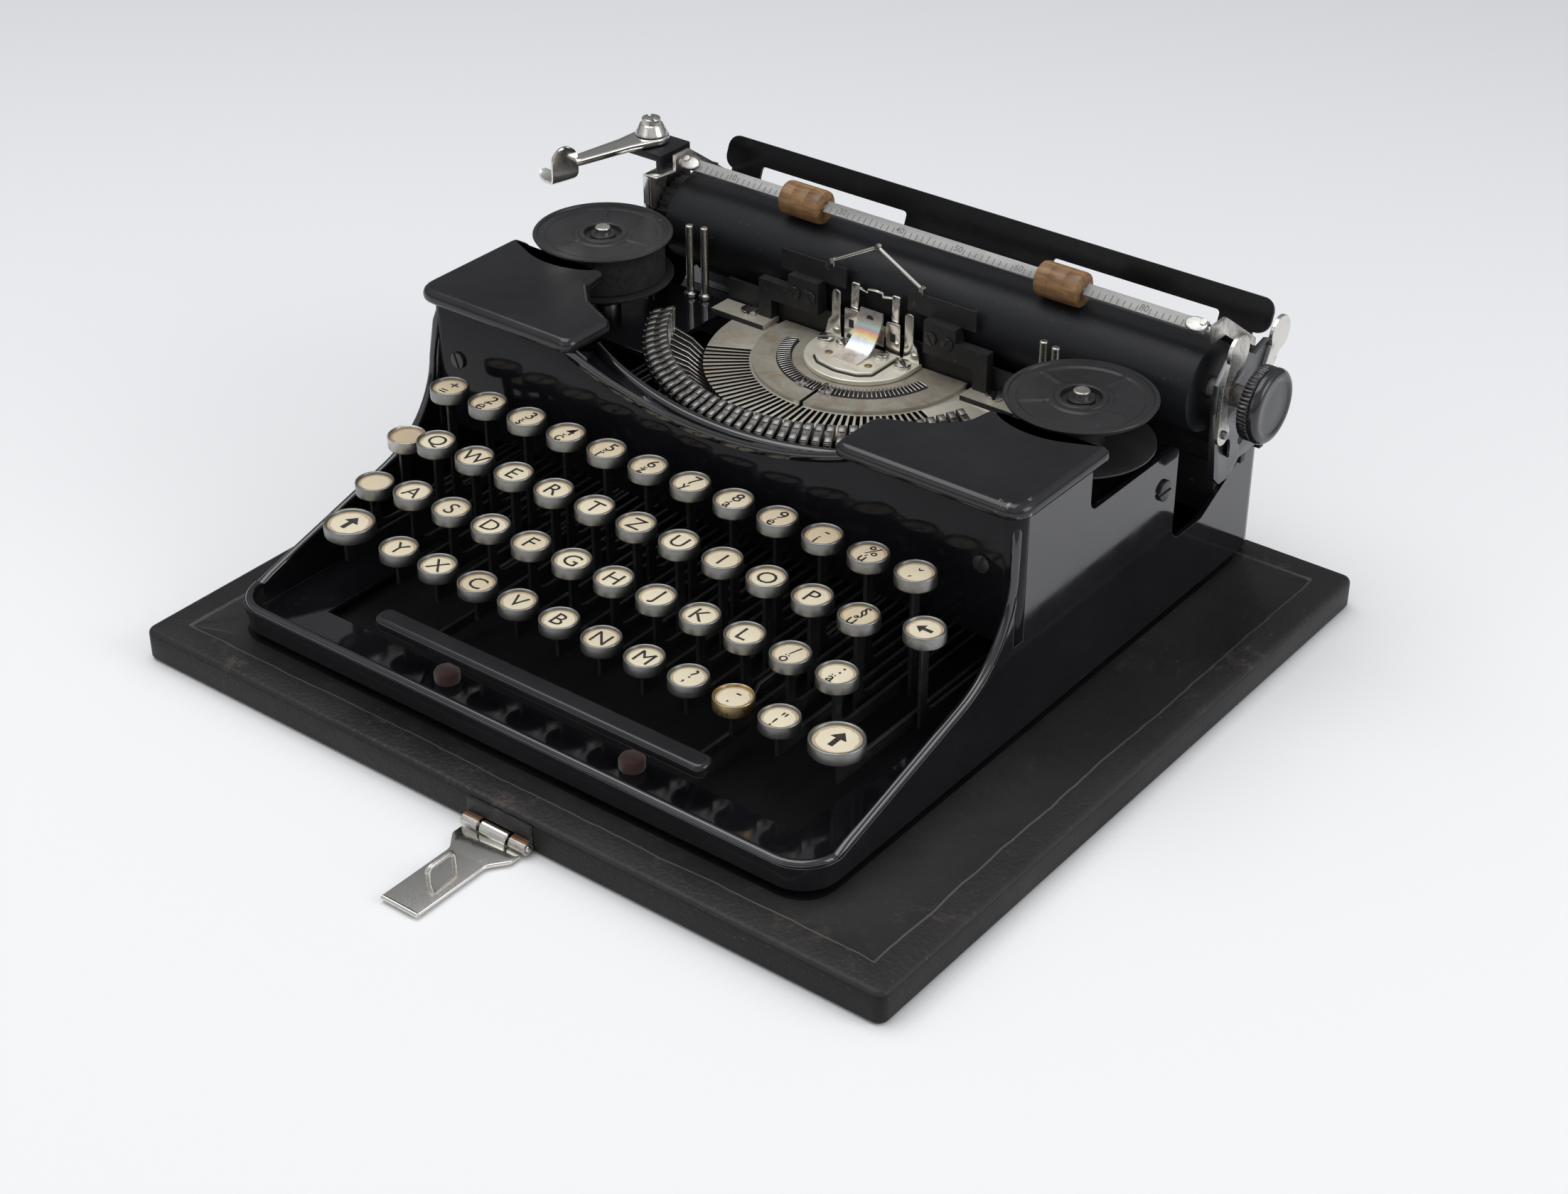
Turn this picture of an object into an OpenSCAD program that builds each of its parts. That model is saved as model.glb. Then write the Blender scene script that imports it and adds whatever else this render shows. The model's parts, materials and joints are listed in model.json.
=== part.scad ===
// Portable typewriter on its base board, in millimetres.
// +Z is up, the keyboard faces -Y, X = 0 is the machine's middle plane, Z = 0 is the board's underside.

/* [Base board] */
// Width of the base board
board_w = 328; // [310:1:380]
// Depth of the base board
board_d = 298; // [294:1:340]
// Thickness of the base board
board_t = 12; // [9:0.5:18]
// Corner radius of the base board
board_r = 4; // [1:0.5:10]
// How far the board's middle lies right of the machine's middle
board_shift = 8; // [0:1:16]
// Width of the cloth edging around the board's top
edging_w = 10; // [6:0.5:12]
// Height of the cloth edging
edging_h = 0.5; // [0.2:0.1:1]

/* [Hasp] */
// Sideways place of the hasp
hasp_x = 18; // [-60:1:60]
// Width of the fixed leaf
leaf_w = 28; // [24:1:40]
// Width of the strap
strap_w = 16; // [12:1:20]
// Length of the strap from the pin
strap_len = 46; // [36:1:60]
// Sheet thickness of leaf and strap
hasp_t = 1.5; // [1:0.1:2]
// Outer diameter of the knuckles
knuckle_d = 5; // [4.6:0.1:6]
// Diameter of the hasp pin
hasp_pin_d = 2.4; // [1.6:0.1:2.6]

/* [Body] */
// Outer width of the body
body_w = 261; // [258:1:270]
// Depth of the body from front skirt to rear wall
body_d = 275; // [272:1:280]
// Height of the body from its underside to the top of the covers
body_h = 92; // [90:0.5:95]
// Height of the rubber feet
foot_h = 3; // [2:0.5:6]
// Diameter of the rubber feet
foot_d = 16; // [10:1:20]
// Thickness of the body sheet
wall = 2; // [1.6:0.1:2.4]
// Corner radius at the front
front_r = 14; // [10:1:20]
// Corner radius at the rear
rear_r = 8; // [5:1:14]
// Height of the front skirt
skirt_h = 9.5; // [8:0.5:12]
// Width of the flange under the body
flange_w = 22; // [20:0.5:24]
// Rise of the cheeks beside the keyboard, in degrees
cheek_angle = 16; // [12:0.5:18]
// Radius where a cheek sweeps up into the front panel
cheek_r = 40; // [25:1:48]
// Size of the rolled lip along the cheeks and skirt
lip = 1.2; // [0.6:0.1:2]
// Depth of the dip in the middle of the front panel
dip_depth = 13.7; // [10:0.1:15]
// Radius of the dip
dip_r = 169; // [150:1:190]

/* [Covers] */
// Thickness of the cover plates
cover_t = 2.5; // [1.5:0.1:3]
// Depth of the rolled cover edge
cover_edge = 5.5; // [4:0.1:6]
// Overhang of the covers past the body
cover_over = 3; // [2:0.1:4]
// Distance of a cover's inner edge from the middle
cover_in = 57; // [55:0.5:60]

/* [Keys] */
// Distance between keys in a row
key_pitch = 19; // [18.6:0.1:19.2]
// Distance between rows, front to back
row_depth = 18; // [17:0.1:18.6]
// Height between rows
row_rise = 11.3; // [10.6:0.1:11.8]
// Outer diameter of a key
key_d = 14.5; // [12:0.1:15]
// Height of a key ring
key_h = 4.8; // [4:0.1:5]
// Diameter of a shift key
shift_d = 19; // [16:0.5:20]
// Thickness of the key levers
lever_t = 1.5; // [1.2:0.1:1.8]
// Height of the key levers
lever_h = 5; // [4:0.1:5.4]
// Diameter of the rod that the key levers turn on
rod_d = 5; // [4:0.1:6]
// Length of the space bar
space_len = 148; // [120:1:150]
// Depth of the space bar
space_depth = 9; // [7:0.5:10]

/* [Type action] */
// Number of typebars
bar_count = 43; // [31:2:43]
// Angle between typebars
bar_step = 3; // [2.9:0.05:3]
// Thickness of a typebar
bar_t = 1.2; // [0.8:0.1:1.3]
// Radius of the arc of typebar pivots
pivot_r = 30; // [29.5:0.1:30.5]
// Diameter of the curved pivot wire
wire_d = 2; // [1.4:0.1:2.2]
// Outer radius of the segment
segment_r = 60; // [59:0.5:61]

/* [Ribbon spools] */
// Diameter of the spool flanges
spool_d = 53.6; // [48:0.2:54]
// Height of a spool
spool_h = 18; // [15:0.5:19]
// Diameter of the spool shafts
shaft_d = 6; // [4:0.5:8]
// Radius of the wound ribbon
ribbon_r = 23.5; // [14:0.5:25]

/* [Carriage] */
// Rest place of the carriage's middle
carriage_x = 16; // [10:1:20]
// Radius of the platen
platen_r = 16.5; // [15.5:0.1:16.5]
// Length of the platen
platen_len = 234; // [226:1:240]
// Diameter of the platen shaft
axle_d = 8; // [6:0.5:9]
// Diameter of the platen knob
knob_d = 27.5; // [24:0.5:33]
// Length of the platen knob
knob_len = 8.5; // [7:0.5:13]
// Radius of the feed roller
feed_r = 5; // [4:0.1:5.2]
// Radius of the bail rollers
bail_r = 6.5; // [5.5:0.1:7]
// Length of the bail rollers
bail_roller_len = 18; // [12:1:24]
// Diameter of the bail rod
bail_rod_d = 3.2; // [3:0.1:5]
// Width of the paper table
table_w = 244; // [230:1:246]
// Length of the line-space lever from its pivot
line_lever_len = 50; // [45:1:62]

/* [Hidden] */
$fn = 48;
// Radial clearance of a part that turns on a pin or shaft
run = 0.05;
// Gap between sliding or facing parts of different bodies
gap = 0.3;
// Small overlap that joins shapes of one solid, and overcut of a hole
eps = 0.5;

// Heights
body_z = board_t + foot_h;
rim_z = body_z + skirt_h;
cover_z = body_z + body_h;
wall_z = cover_z - cover_t;
half_w = body_w / 2;
inner_w = half_w - wall;

// Depths, with Y = 0 in the middle of the board
body_back = 8.5;
front_y = body_back - body_d / 2;
rear_y = body_back + body_d / 2;
board_front = -board_d / 2;

// Flange under the body, and the stop shelf for the space bar
flange_t = 1.5;

// Front panel and cheeks
keyboard_d = 109;
panel_y = front_y + keyboard_d;
panel_t = 2;
panel_r = 6;
panel_up = 37;
panel_z = body_z + panel_up;
cheek_y = front_y + front_r;
sweep_y = panel_y - cheek_r;
sweep_z = rim_z + (sweep_y - cheek_y) * tan(cheek_angle) + cheek_r / cos(cheek_angle);
lip_h = 3;

// Side walls behind the panel: spool well, carriage notch and rear
well_back = 44;
well_drop = 23.5;
notch_back = 102;
notch_up = 29;
well_y = panel_y + well_back;
well_z = cover_z - well_drop;
well_r = 4;
notch_y = panel_y + notch_back;
notch_z = body_z + notch_up;
notch_top_r = 3;
notch_r = 6;
notch_flat = 15;
rear_up = 46;
rear_flat = 12;
rear_z = body_z + rear_up;
rear_rise_y = rear_y - rear_flat;

// Ledges inside the side walls that carry spools, posts and segment
ledge_drop = 3.5;
ledge_z = well_z - ledge_drop;
ledge_t = 2;
ledge_in = 64.5;
ledge_back = 99;
ledge_y0 = well_y + wall;
ledge_y1 = panel_y + ledge_back;

// Covers
cover_front = 4;
cover_y = panel_y - cover_front;
cover_r = 6;
cover_reach = 49;
cover_back = panel_y + cover_reach;
spool_gap = 1.5;

// Ribbon spools and guide posts
spool_in = 23;
spool_back = 72;
spool_up = 10.5;
spool_x = half_w - spool_in;
spool_y = panel_y + spool_back;
spool_z = ledge_z + spool_up;
spool_core_r = 9;
flange_th = 1.2;
spool_top = spool_z + spool_h;
collar_d = 12;
post_d = 3;
post_h = 30;
post_edge = 3.5;
post_apart = 6;
post_z = ledge_z + post_h;
post_x = spool_x - spool_d / 2 - post_d + post_apart * 0.87;
post_places = [[post_x - post_apart, ledge_y1 - post_edge], [post_x, ledge_y1 - post_edge - post_d / 2]];

// Keyboard
rod_back = 120;
rod_up = 16.5;
rod_y = panel_y + rod_back;
rod_z = body_z + rod_up;
lever_z = rod_z - lever_h / 2;
row1_front = 14;
row1_up = 63;
row1_y = panel_y - row1_front;
row1_z = body_z + row1_up;
row_counts = [12, 11, 11, 10];
row_shift = [0, 0.5, 0.75, 1.25];
first_key = 5.71;
row1_x = -first_key * key_pitch;
stem_w = 4;
ring_w = 1.2;
cap_d = key_d - 2 * ring_w;
cap_sink = 0.6;
boss_wall = 2;
boss_r = rod_d / 2 + boss_wall;
h_row = 2;
h_col = 5;
lever_gap = key_pitch / 8;
shift_x = 109.3;
shift_y = row1_y - 3 * row_depth;
shift_up = 1.4;
shift_z = row1_z - 3 * row_rise + shift_up;
shift_arm_x = -row1_x + lever_gap;
tie_gap = 6;
tie_y = rod_y + boss_r + tie_gap;
tie_d = 4;
lock_out = 5.3;
lock_drop = 3;
lock_x = row1_x - lock_out;
lock_y = row1_y - 2 * row_depth;
lock_z = row1_z - 2 * row_rise - lock_drop;
lock_arm_out = 6.4;
lock_arm_x = row1_x - lock_arm_out;
margin_out = 7.1;
margin_back = 1.4;
margin_drop = 4.2;
margin_arm_out = 9.6;
margin_x = row1_x - margin_out;
margin_y = row1_y - row_depth + margin_back;
margin_z = row1_z - row_rise - margin_drop;
margin_arm_x = row1_x - margin_arm_out;
back_keys = 11.7;
back_front = 13.2;
back_drop = 10;
back_x = row1_x + back_keys * key_pitch;
back_y = row1_y - back_front;
back_z = row1_z - back_drop;

// Space bar, its two arms and the felt stops under it
space_x = 2;
space_back = 17.5;
space_up = 9.5;
space_y = front_y + space_back;
space_z = rim_z + space_up;
space_h = 5.5;
space_arm_keys = [2.625, 8.875];
space_arms = [for (k = space_arm_keys) row1_x + k * key_pitch];
// The arms dip below the front row, so its key tops can come down
arm_dip_front = 10;
arm_dip_back = 12;
arm_dip_up = 7.8;
arm_dip_h = 4.3;
arm_ramp = 10;
arm_dip_y0 = shift_y - arm_dip_front;
arm_dip_y1 = shift_y + arm_dip_back;
arm_dip_z = body_z + arm_dip_up;
pad_x = 42;
pad_d = 9;
pad_h = 5;

// Lever comb
comb_back = 80;
comb_d = 5;
comb_up = 5;
comb_root = 4;
comb_over = 7;
comb_play = 0.8;
comb_y = panel_y + comb_back;
comb_z0 = body_z + comb_up;
comb_z1 = rod_z + comb_over;
comb_slot = lever_t + comb_play;

// Type segment and typebars, on a centre just right of the middle plane
print_x = 3;
segment_back = 91;
segment_up = 0.5;
segment_y = panel_y + segment_back;
segment_z = ledge_z + segment_up;
slot_w = bar_t + gap;
slot_r = 43;
plate_r0 = 22;
plate_r1 = 42;
plate_up = 1.5;
plate_z = segment_z + plate_up;
plate_t = 4;
ring_t = 6.5;
pivot_drop = 10.5;
pivot_z = segment_z - pivot_drop;
wing_t = 2.5;
wing_x = 70;
swing_index = (bar_count + 1) / 2;
slug_w = 3;
side_rise = 4;
fan = (bar_count - 1) / 2 * bar_step;
rest_gap = 5;
rest_drop = 3.8;
rest_r = segment_r + rest_gap;
rest_w = 4;
rest_z = segment_z - rest_drop;
rest_h = 6;

// Type guide, vibrator and card holder
guide_r = 24;
guide_t = 2;
guide_z = plate_z;
finger_x = 9.5;
finger_w = 5;
finger_h = 17;
finger_t = 1;
finger_front = 4;
vib_front = 1.5;
finger_y = ledge_y1 - finger_front;
vib_y = ledge_y1 - vib_front;
vib_t = 1.2;
vib_w = 9;
vib_h = 8.5;
vib_span = 22;
vib_prong = 9;
vib_bar = 4;
vib_prong_w = 3;
vib_up = 1;
card_front = 0.6;
card_y = ledge_y1 - card_front;
card_t = 1;
card_in = 14;
card_out = 44;
card_up = 22.5;
card_z = segment_z + card_up;
card_h = 8;
card_wire = 1.4;
card_ball = 2.2;
card_knuckle = 1.8;
block_x0 = 24;
block_x1 = 38;
block_h = 8;
block_d = 5;
block_drop = 4;
leg_w = 6;
leg_in = 8;
rail_bar_h = 11;
rail_bar_t = 1;

// Carriage: platen axis, end plates, rail and channel
axis_back = 17.5;
axis_up = 17.5;
axis_y = ledge_y1 + axis_back;
axis_z = well_z + axis_up;
end_gap = 7;
end_x = platen_len / 2 + end_gap;
end_t = 2.5;
ratchet_t = 5;
ratchet_teeth = 30;
ratchet_r = platen_r - 1;
feed_angle = -70;
feed_y = axis_y - (platen_r + feed_r + gap) * cos(180 + feed_angle);
feed_z = axis_z + (platen_r + feed_r + gap) * sin(feed_angle);
feed_axle_d = 4;
rail_back = 22.5;
rail_y = axis_y + rail_back;
rail_w = 10;
rail_z = rear_z;
rail_h = 11;
shoe_t = 3;
shoe_top = 4.5;
shoe_drop = 6;
crossbar_t = 2.5;
crossbar_up = 25;
crossbar_z = body_z + crossbar_up;
drum_x = -70;
drum_front = 16;
drum_up = 3;
drum_y = rear_y - drum_front;
drum_r = 12.5;
drum_h = 12;
drum_pin_d = 5;
bell_x = 70;
bell_r = 12.5;
bell_t = 1.5;

// Paper table, bail and carriage levers
table_t = 1.2;
table_shift = 1;
table_front = 6.5;
table_drop = 15;
table_lean = 15;
table_rise = 23;
table_y0 = rail_y - table_front;
table_z0 = axis_z - table_drop;
table_y1 = table_y0 + table_lean;
table_z1 = axis_z + table_rise;
table_slot_w = 70;
table_slot_h = 6;
table_slot_in_z = 12;
table_top_h = 13;
table_slot_in = 33;
bail_front = 4;
bail_pivot_back = 21.5;
bail_pivot_up = 7;
bail_arm_in = 4.5;
bail_pin_d = 3;
bail_y = axis_y - bail_front;
bail_z = axis_z + platen_r + bail_r + gap;
bail_pivot_y = axis_y + bail_pivot_back;
bail_pivot_z = axis_z + bail_pivot_up;
bail_arm_x = end_x - bail_arm_in;
bail_arm_t = 1.5;
bail_roller_x = 57;
scale_w = 4.8;
scale_t = 1;
line_out = 9.5;
line_up = 26;
line_x = -(end_x + end_t + line_out);
line_z = axis_z + line_up;
stud_d = 6;
line_t = 3;
line_w = 9;
line_pad_r = 9.5;
line_pad_h = 10.3;
line_swing = 12.4;
knob_out = 7;
release_x = end_x + end_t + gap;
release_t = 1.5;
release_pin_d = 3;
release_front = 9.5;
release_drop = 11;
paper_rel_back = 15.5;
paper_rel_drop = 3;
release_y = axis_y - release_front;
release_z = axis_z - release_drop;
paper_rel_y = axis_y + paper_rel_back;
paper_rel_z = axis_z - paper_rel_drop;
ear_r = 6.5;

// Points on an arc in the plane, from angle a0 to a1
function arc(cx, cy, r, a0, a1, n = 12) =
    [for (i = [0 : n]) [cx + r * cos(a0 + (a1 - a0) * i / n), cy + r * sin(a0 + (a1 - a0) * i / n)]];

// Place of key k in row r (0 is the rear row)
function key_x(r, k) = row1_x + (row_shift[r] + k) * key_pitch;
function key_y(r) = row1_y - r * row_depth;
function key_z(r) = row1_z - r * row_rise;

// Angle of typebar i, zero straight to the front
function bar_angle(i) = (i - (bar_count - 1) / 2) * bar_step;

// A rectangle with rounded corners, centred
module rounded_rect(w, d, r) {
    square([w - 2 * r, d], center = true);
    square([w, d - 2 * r], center = true);
    for (x = [-1, 1], y = [-1, 1])
        translate([x * (w / 2 - r), y * (d / 2 - r)])
            circle(r);
}

// Extrudes a drawing made in (Y, Z) along X, centred on x
module along_x(x, w) {
    translate([x, 0, 0])
        rotate([90, 0, 90])
            linear_extrude(w, center = true)
                children();
}

// A round rod along X
module rod_x(x0, x1, y, z, d) {
    translate([x0, y, z])
        rotate([0, 90, 0])
            cylinder(d = d, h = x1 - x0);
}

// A box given by its lowest and highest corners
module box(a, b) {
    translate(a)
        cube(b - a);
}

// Outline of the body in plan, drawn in by g
module body_plan(g) {
    x = half_w - g;
    y0 = front_y + g;
    y1 = rear_y - g;
    rf = front_r - g;
    rr = rear_r - g;
    translate([-x + rf, y0])
        square([2 * (x - rf), y1 - y0 - rr]);
    translate([-x, y0 + rf])
        square([2 * x, y1 - y0 - rf - rr]);
    translate([-x + rr, y0 + rf])
        square([2 * (x - rr), y1 - y0 - rf]);
    for (s = [-1, 1]) {
        translate([s * (x - rf), y0 + rf])
            circle(rf);
        translate([s * (x - rr), y1 - rr])
            circle(rr);
    }
}

// Side view of the body: everything below the top edge of the walls
module side_profile() {
    polygon(concat(
        [[front_y - 5, 0], [front_y - 5, rim_z], [cheek_y, rim_z]],
        arc(sweep_y, sweep_z, cheek_r, cheek_angle - 90, 0),
        [[panel_y, wall_z], [well_y, wall_z]],
        arc(well_y + well_r, well_z + well_r, well_r, 180, 270, 4),
        arc(notch_y - notch_top_r, well_z - notch_top_r, notch_top_r, 90, 0, 4),
        arc(notch_y + notch_r, notch_z + notch_r, notch_r, 180, 270, 6),
        [[notch_y + notch_r + notch_flat, notch_z], [rear_rise_y, rear_z - 1]],
        [[rear_y, rear_z], [rear_y + 5, rear_z], [rear_y + 5, 0]]));
}

module base_board() {
    color("#1a1a1c")
        translate([board_shift, 0, 0]) {
            linear_extrude(board_t)
                rounded_rect(board_w, board_d, board_r);
            translate([0, 0, board_t - eps])
                linear_extrude(edging_h + eps)
                    difference() {
                        rounded_rect(board_w, board_d, board_r);
                        square([board_w - 2 * edging_w, board_d - 2 * edging_w], center = true);
                    }
        }
}

// Hasp: the pin lies along X in front of the board
hasp_y = board_front - knuckle_d / 2;
hasp_z = knuckle_d / 2 + 0.5;
knuckle_in = leaf_w / 4;

module knuckle(x0, x1) {
    rod_x(hasp_x + x0, hasp_x + x1, hasp_y, hasp_z, knuckle_d);
}

module hasp_bore() {
    rod_x(hasp_x - leaf_w, hasp_x + leaf_w, hasp_y, hasp_z, hasp_pin_d + 2 * run);
}

module hasp_leaf() {
    color("#6b5a44")
        difference() {
            union() {
                box([hasp_x - leaf_w / 2, board_front - hasp_t, hasp_z],
                    [hasp_x + leaf_w / 2, board_front, board_t - 1]);
                for (s = [-1, 1])
                    knuckle(s > 0 ? knuckle_in : -leaf_w / 2, s > 0 ? leaf_w / 2 : -knuckle_in);
            }
            hasp_bore();
            box([hasp_x - knuckle_in, hasp_y - knuckle_d, 0],
                [hasp_x + knuckle_in, board_front + eps, hasp_z + knuckle_d / 2 + gap]);
        }
}

module hasp_pin() {
    color("silver")
        rod_x(hasp_x - leaf_w / 2 - 0.5, hasp_x + leaf_w / 2 + 0.5, hasp_y, hasp_z, hasp_pin_d);
}

module hasp_strap() {
    strap_z = hasp_z - knuckle_d / 2;
    shoulder_y = hasp_y - knuckle_d / 2 - 1.5;
    loop_y = hasp_y - strap_len + 20;
    color("#c9c6be")
        difference() {
            union() {
                knuckle(-knuckle_in + gap, knuckle_in - gap);
                box([hasp_x - knuckle_in + gap, shoulder_y - 1, strap_z],
                    [hasp_x + knuckle_in - gap, hasp_y, strap_z + hasp_t]);
                translate([hasp_x, 0, strap_z])
                    linear_extrude(hasp_t)
                        polygon([
                            [-leaf_w / 2 + 1, shoulder_y], [leaf_w / 2 - 1, shoulder_y],
                            [leaf_w / 2 - 1, shoulder_y - 5], [strap_w / 2, shoulder_y - 11],
                            [strap_w / 2, hasp_y - strap_len], [-strap_w / 2, hasp_y - strap_len],
                            [-strap_w / 2, shoulder_y - 11], [-leaf_w / 2 + 1, shoulder_y - 5]]);
                translate([hasp_x, loop_y, strap_z + hasp_t - 0.2])
                    rotate([90, 0, 90])
                        rotate_extrude(angle = 180)
                            translate([7, 0])
                                circle(d = 2);
            }
            hasp_bore();
        }
}

module rubber_feet() {
    color("#222222")
        for (x = [-1, 1], y = [front_y + 16, rear_y - 16])
            translate([x * (half_w - 14), y, board_t])
                cylinder(d = foot_d, h = foot_h);
}

module body_shell() {
    color("#0b0b0d")
        difference() {
            union() {
                intersection() {
                    difference() {
                        translate([0, 0, body_z])
                            linear_extrude(body_h)
                                body_plan(0);
                        translate([0, 0, body_z - eps])
                            linear_extrude(body_h + 2 * eps)
                                body_plan(wall);
                    }
                    along_x(0, body_w + 10)
                        side_profile();
                }
                intersection() {
                    difference() {
                        linear_extrude(wall_z)
                            body_plan(-lip);
                        translate([0, 0, -eps])
                            linear_extrude(wall_z + 2 * eps)
                                body_plan(wall);
                    }
                    along_x(0, body_w + 10)
                        intersection() {
                            difference() {
                                side_profile();
                                translate([0, -lip_h])
                                    side_profile();
                            }
                            translate([front_y - 5, 0])
                                square([panel_y - front_y + 4, sweep_z]);
                        }
                }
                translate([0, 0, body_z])
                    linear_extrude(flange_t)
                        difference() {
                            body_plan(wall / 2);
                            translate([-inner_w + flange_w, front_y + wall + flange_w])
                                square([2 * (inner_w - flange_w), body_d - 2 * (wall + flange_w)]);
                        }
                for (s = [-1, 1])
                    box([s > 0 ? ledge_in : -half_w + wall / 2, ledge_y0, ledge_z - ledge_t],
                        [s > 0 ? half_w - wall / 2 : -ledge_in, ledge_y1, ledge_z]);
            }
            for (s = [-1, 1])
                box([s > 0 ? inner_w - eps : -half_w - eps, panel_y, panel_z],
                    [s > 0 ? half_w + eps : -inner_w + eps, panel_y + panel_r, cover_z]);
            for (s = [-1, 1])
                translate([s * spool_x, spool_y, ledge_z - ledge_t - eps])
                    cylinder(d = shaft_d + 2 * run, h = ledge_t + 2 * eps);
        }
}

// Front panel in plan: a sheet with rounded corners that turn back along the sides
module panel_plan(g) {
    r = panel_r - g;
    translate([-half_w + panel_r, panel_y + g])
        square([body_w - 2 * panel_r, panel_r]);
    for (s = [-1, 1])
        translate([s * (half_w - panel_r), panel_y + panel_r])
            circle(r);
}

module front_panel() {
    color("#0b0b0d")
        difference() {
            translate([0, 0, panel_z])
                linear_extrude(wall_z - panel_z)
                    intersection() {
                        difference() {
                            panel_plan(0);
                            panel_plan(panel_t);
                        }
                        translate([-half_w, panel_y])
                            square([body_w, panel_r]);
                    }
            translate([0, panel_y - eps, wall_z - dip_depth + dip_r])
                rotate([-90, 0, 0])
                    cylinder(r = dip_r, h = panel_r + 2 * eps, $fn = 96);
        }
}

// Right-hand cover in plan
module cover_plan() {
    tip_x = spool_x - 19;
    out_x = half_w + cover_over;
    difference() {
        polygon(concat(
            arc(cover_in + 3, cover_y + 3, 3, 180, 270, 4),
            arc(out_x - cover_r, cover_y + cover_r, cover_r, -90, 0, 6),
            [[out_x, cover_back], [tip_x, cover_back], [tip_x - 2, cover_back - 6],
             [tip_x - 5, cover_back - 14], [tip_x - 19, cover_back - 22], [cover_in + 2, cover_back - 27],
             [cover_in, cover_back - 31]]));
        translate([spool_x, spool_y])
            circle(spool_d / 2 + spool_gap);
    }
}

module right_cover() {
    color("#121214")
        difference() {
            translate([0, 0, cover_z - cover_edge])
                linear_extrude(cover_edge)
                    cover_plan();
            box([0, panel_y - 1.5, cover_z - cover_edge - eps], [half_w + 0.5, spool_y, wall_z]);
        }
}

module left_cover() {
    mirror([1, 0, 0])
        right_cover();
}

// Crossbar at the rear that carries rail, spring drum and bell
module rear_crossbar() {
    color("#2a2a2c") {
        along_x(0, 2 * inner_w)
            polygon([
                [rail_y - rail_w / 2, crossbar_z], [rail_y - rail_w / 2 + crossbar_t, crossbar_z],
                [rail_y - rail_w / 2 + crossbar_t, rear_z - crossbar_t],
                [rear_y - wall - rear_r, rear_z - crossbar_t],
                [rear_y - wall - rear_r, rear_z], [rail_y - rail_w / 2, rear_z]]);
        box([-inner_w + rear_r, rear_y - wall - rear_r - eps, rear_z - crossbar_t],
            [inner_w - rear_r, rear_y - wall, rear_z]);
        for (x = [drum_x, bell_x])
            translate([x, drum_y, crossbar_z]) {
                cylinder(d = drum_pin_d, h = rear_z - crossbar_z - eps);
                cylinder(d = drum_pin_d + 4, h = drum_up - gap);
            }
    }
}

module carriage_rail() {
    color("#8d8f92")
        box([-inner_w, rail_y - rail_w / 2, rail_z], [inner_w, rail_y + rail_w / 2, rail_z + rail_h]);
}

module key_pivot_rod() {
    color("silver")
        rod_x(-inner_w, inner_w, rod_y, rod_z, rod_d);
}

// Every lever's place along X
lever_places = concat(
    [for (r = [0 : 3], k = [0 : row_counts[r] - 1]) key_x(r, k)],
    space_arms, [-shift_arm_x, shift_arm_x, lock_arm_x, margin_arm_x, back_x]);

module key_comb() {
    color("#3a3a3c")
        difference() {
            box([-inner_w, comb_y, comb_z0], [inner_w, comb_y + comb_d, comb_z1]);
            for (x = lever_places)
                box([x - comb_slot / 2, comb_y - eps, comb_z0 + comb_root],
                    [x + comb_slot / 2, comb_y + comb_d + eps, comb_z1 + eps]);
        }
}

// Side view of a lever with its stem, from the key at y to the rod
module lever_profile(y, z) {
    difference() {
        union() {
            translate([y - stem_w / 2, lever_z])
                square([rod_y - y + stem_w / 2, lever_h]);
            translate([y - stem_w / 2, lever_z])
                square([stem_w, z - key_h + eps - lever_z]);
            translate([rod_y, rod_z])
                circle(boss_r);
        }
        translate([rod_y, rod_z])
            circle(rod_d / 2 + run);
    }
}

// A round key top with a sunken disc inside its ring
module key_top(x, y, z, d) {
    translate([x, y, z - key_h])
        difference() {
            cylinder(d = d, h = key_h);
            translate([0, 0, key_h - cap_sink])
                cylinder(d = d - key_d + cap_d, h = cap_sink + eps);
        }
}

// A whole key: top, stem and lever
module key(x, y, z, d, arm_x) {
    key_top(x, y, z, d);
    along_x(arm_x, lever_t)
        lever_profile(y, z);
}

module row_key(r, k) {
    key(key_x(r, k), key_y(r), key_z(r), key_d, key_x(r, k));
}

// Keys of one column, front to back, without the key that has its own node
module key_column(k) {
    color("#c8b98e")
        for (r = [0 : 3])
            if (k < row_counts[r] && !(r == h_row && k == h_col))
                row_key(r, k);
}

module keys_01() { key_column(0); }
module keys_02() { key_column(1); }
module keys_03() { key_column(2); }
module keys_04() { key_column(3); }
module keys_05() { key_column(4); }
module keys_06() { key_column(5); }
module keys_07() { key_column(6); }
module keys_08() { key_column(7); }
module keys_09() { key_column(8); }
module keys_10() { key_column(9); }

// Last column: the end keys of the three rear rows and the extra key of the rear row
module keys_11() {
    key_column(10);
    color("#c8b98e")
        row_key(0, row_counts[0] - 1);
}

module key_h() {
    color("#c8b98e")
        row_key(h_row, h_col);
}

// Both shift keys on one frame, tied together behind the pivot rod
module shift_keys() {
    color("#c8b98e") {
        for (s = [-1, 1]) {
            key(s * shift_x, shift_y, shift_z, shift_d, s * shift_arm_x);
            box([s * shift_arm_x - lever_t / 2, rod_y + boss_r - 1, lever_z],
                [s * shift_arm_x + lever_t / 2, tie_y, lever_z + lever_h]);
        }
        rod_x(-shift_arm_x, shift_arm_x, tie_y, rod_z, tie_d);
    }
}

module shift_lock_key() {
    color("#9b8b6a")
        key(lock_x, lock_y, lock_z, key_d, lock_arm_x);
}

module margin_key() {
    color("#9b8b6a")
        key(margin_x, margin_y, margin_z, key_d, margin_arm_x);
}

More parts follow.
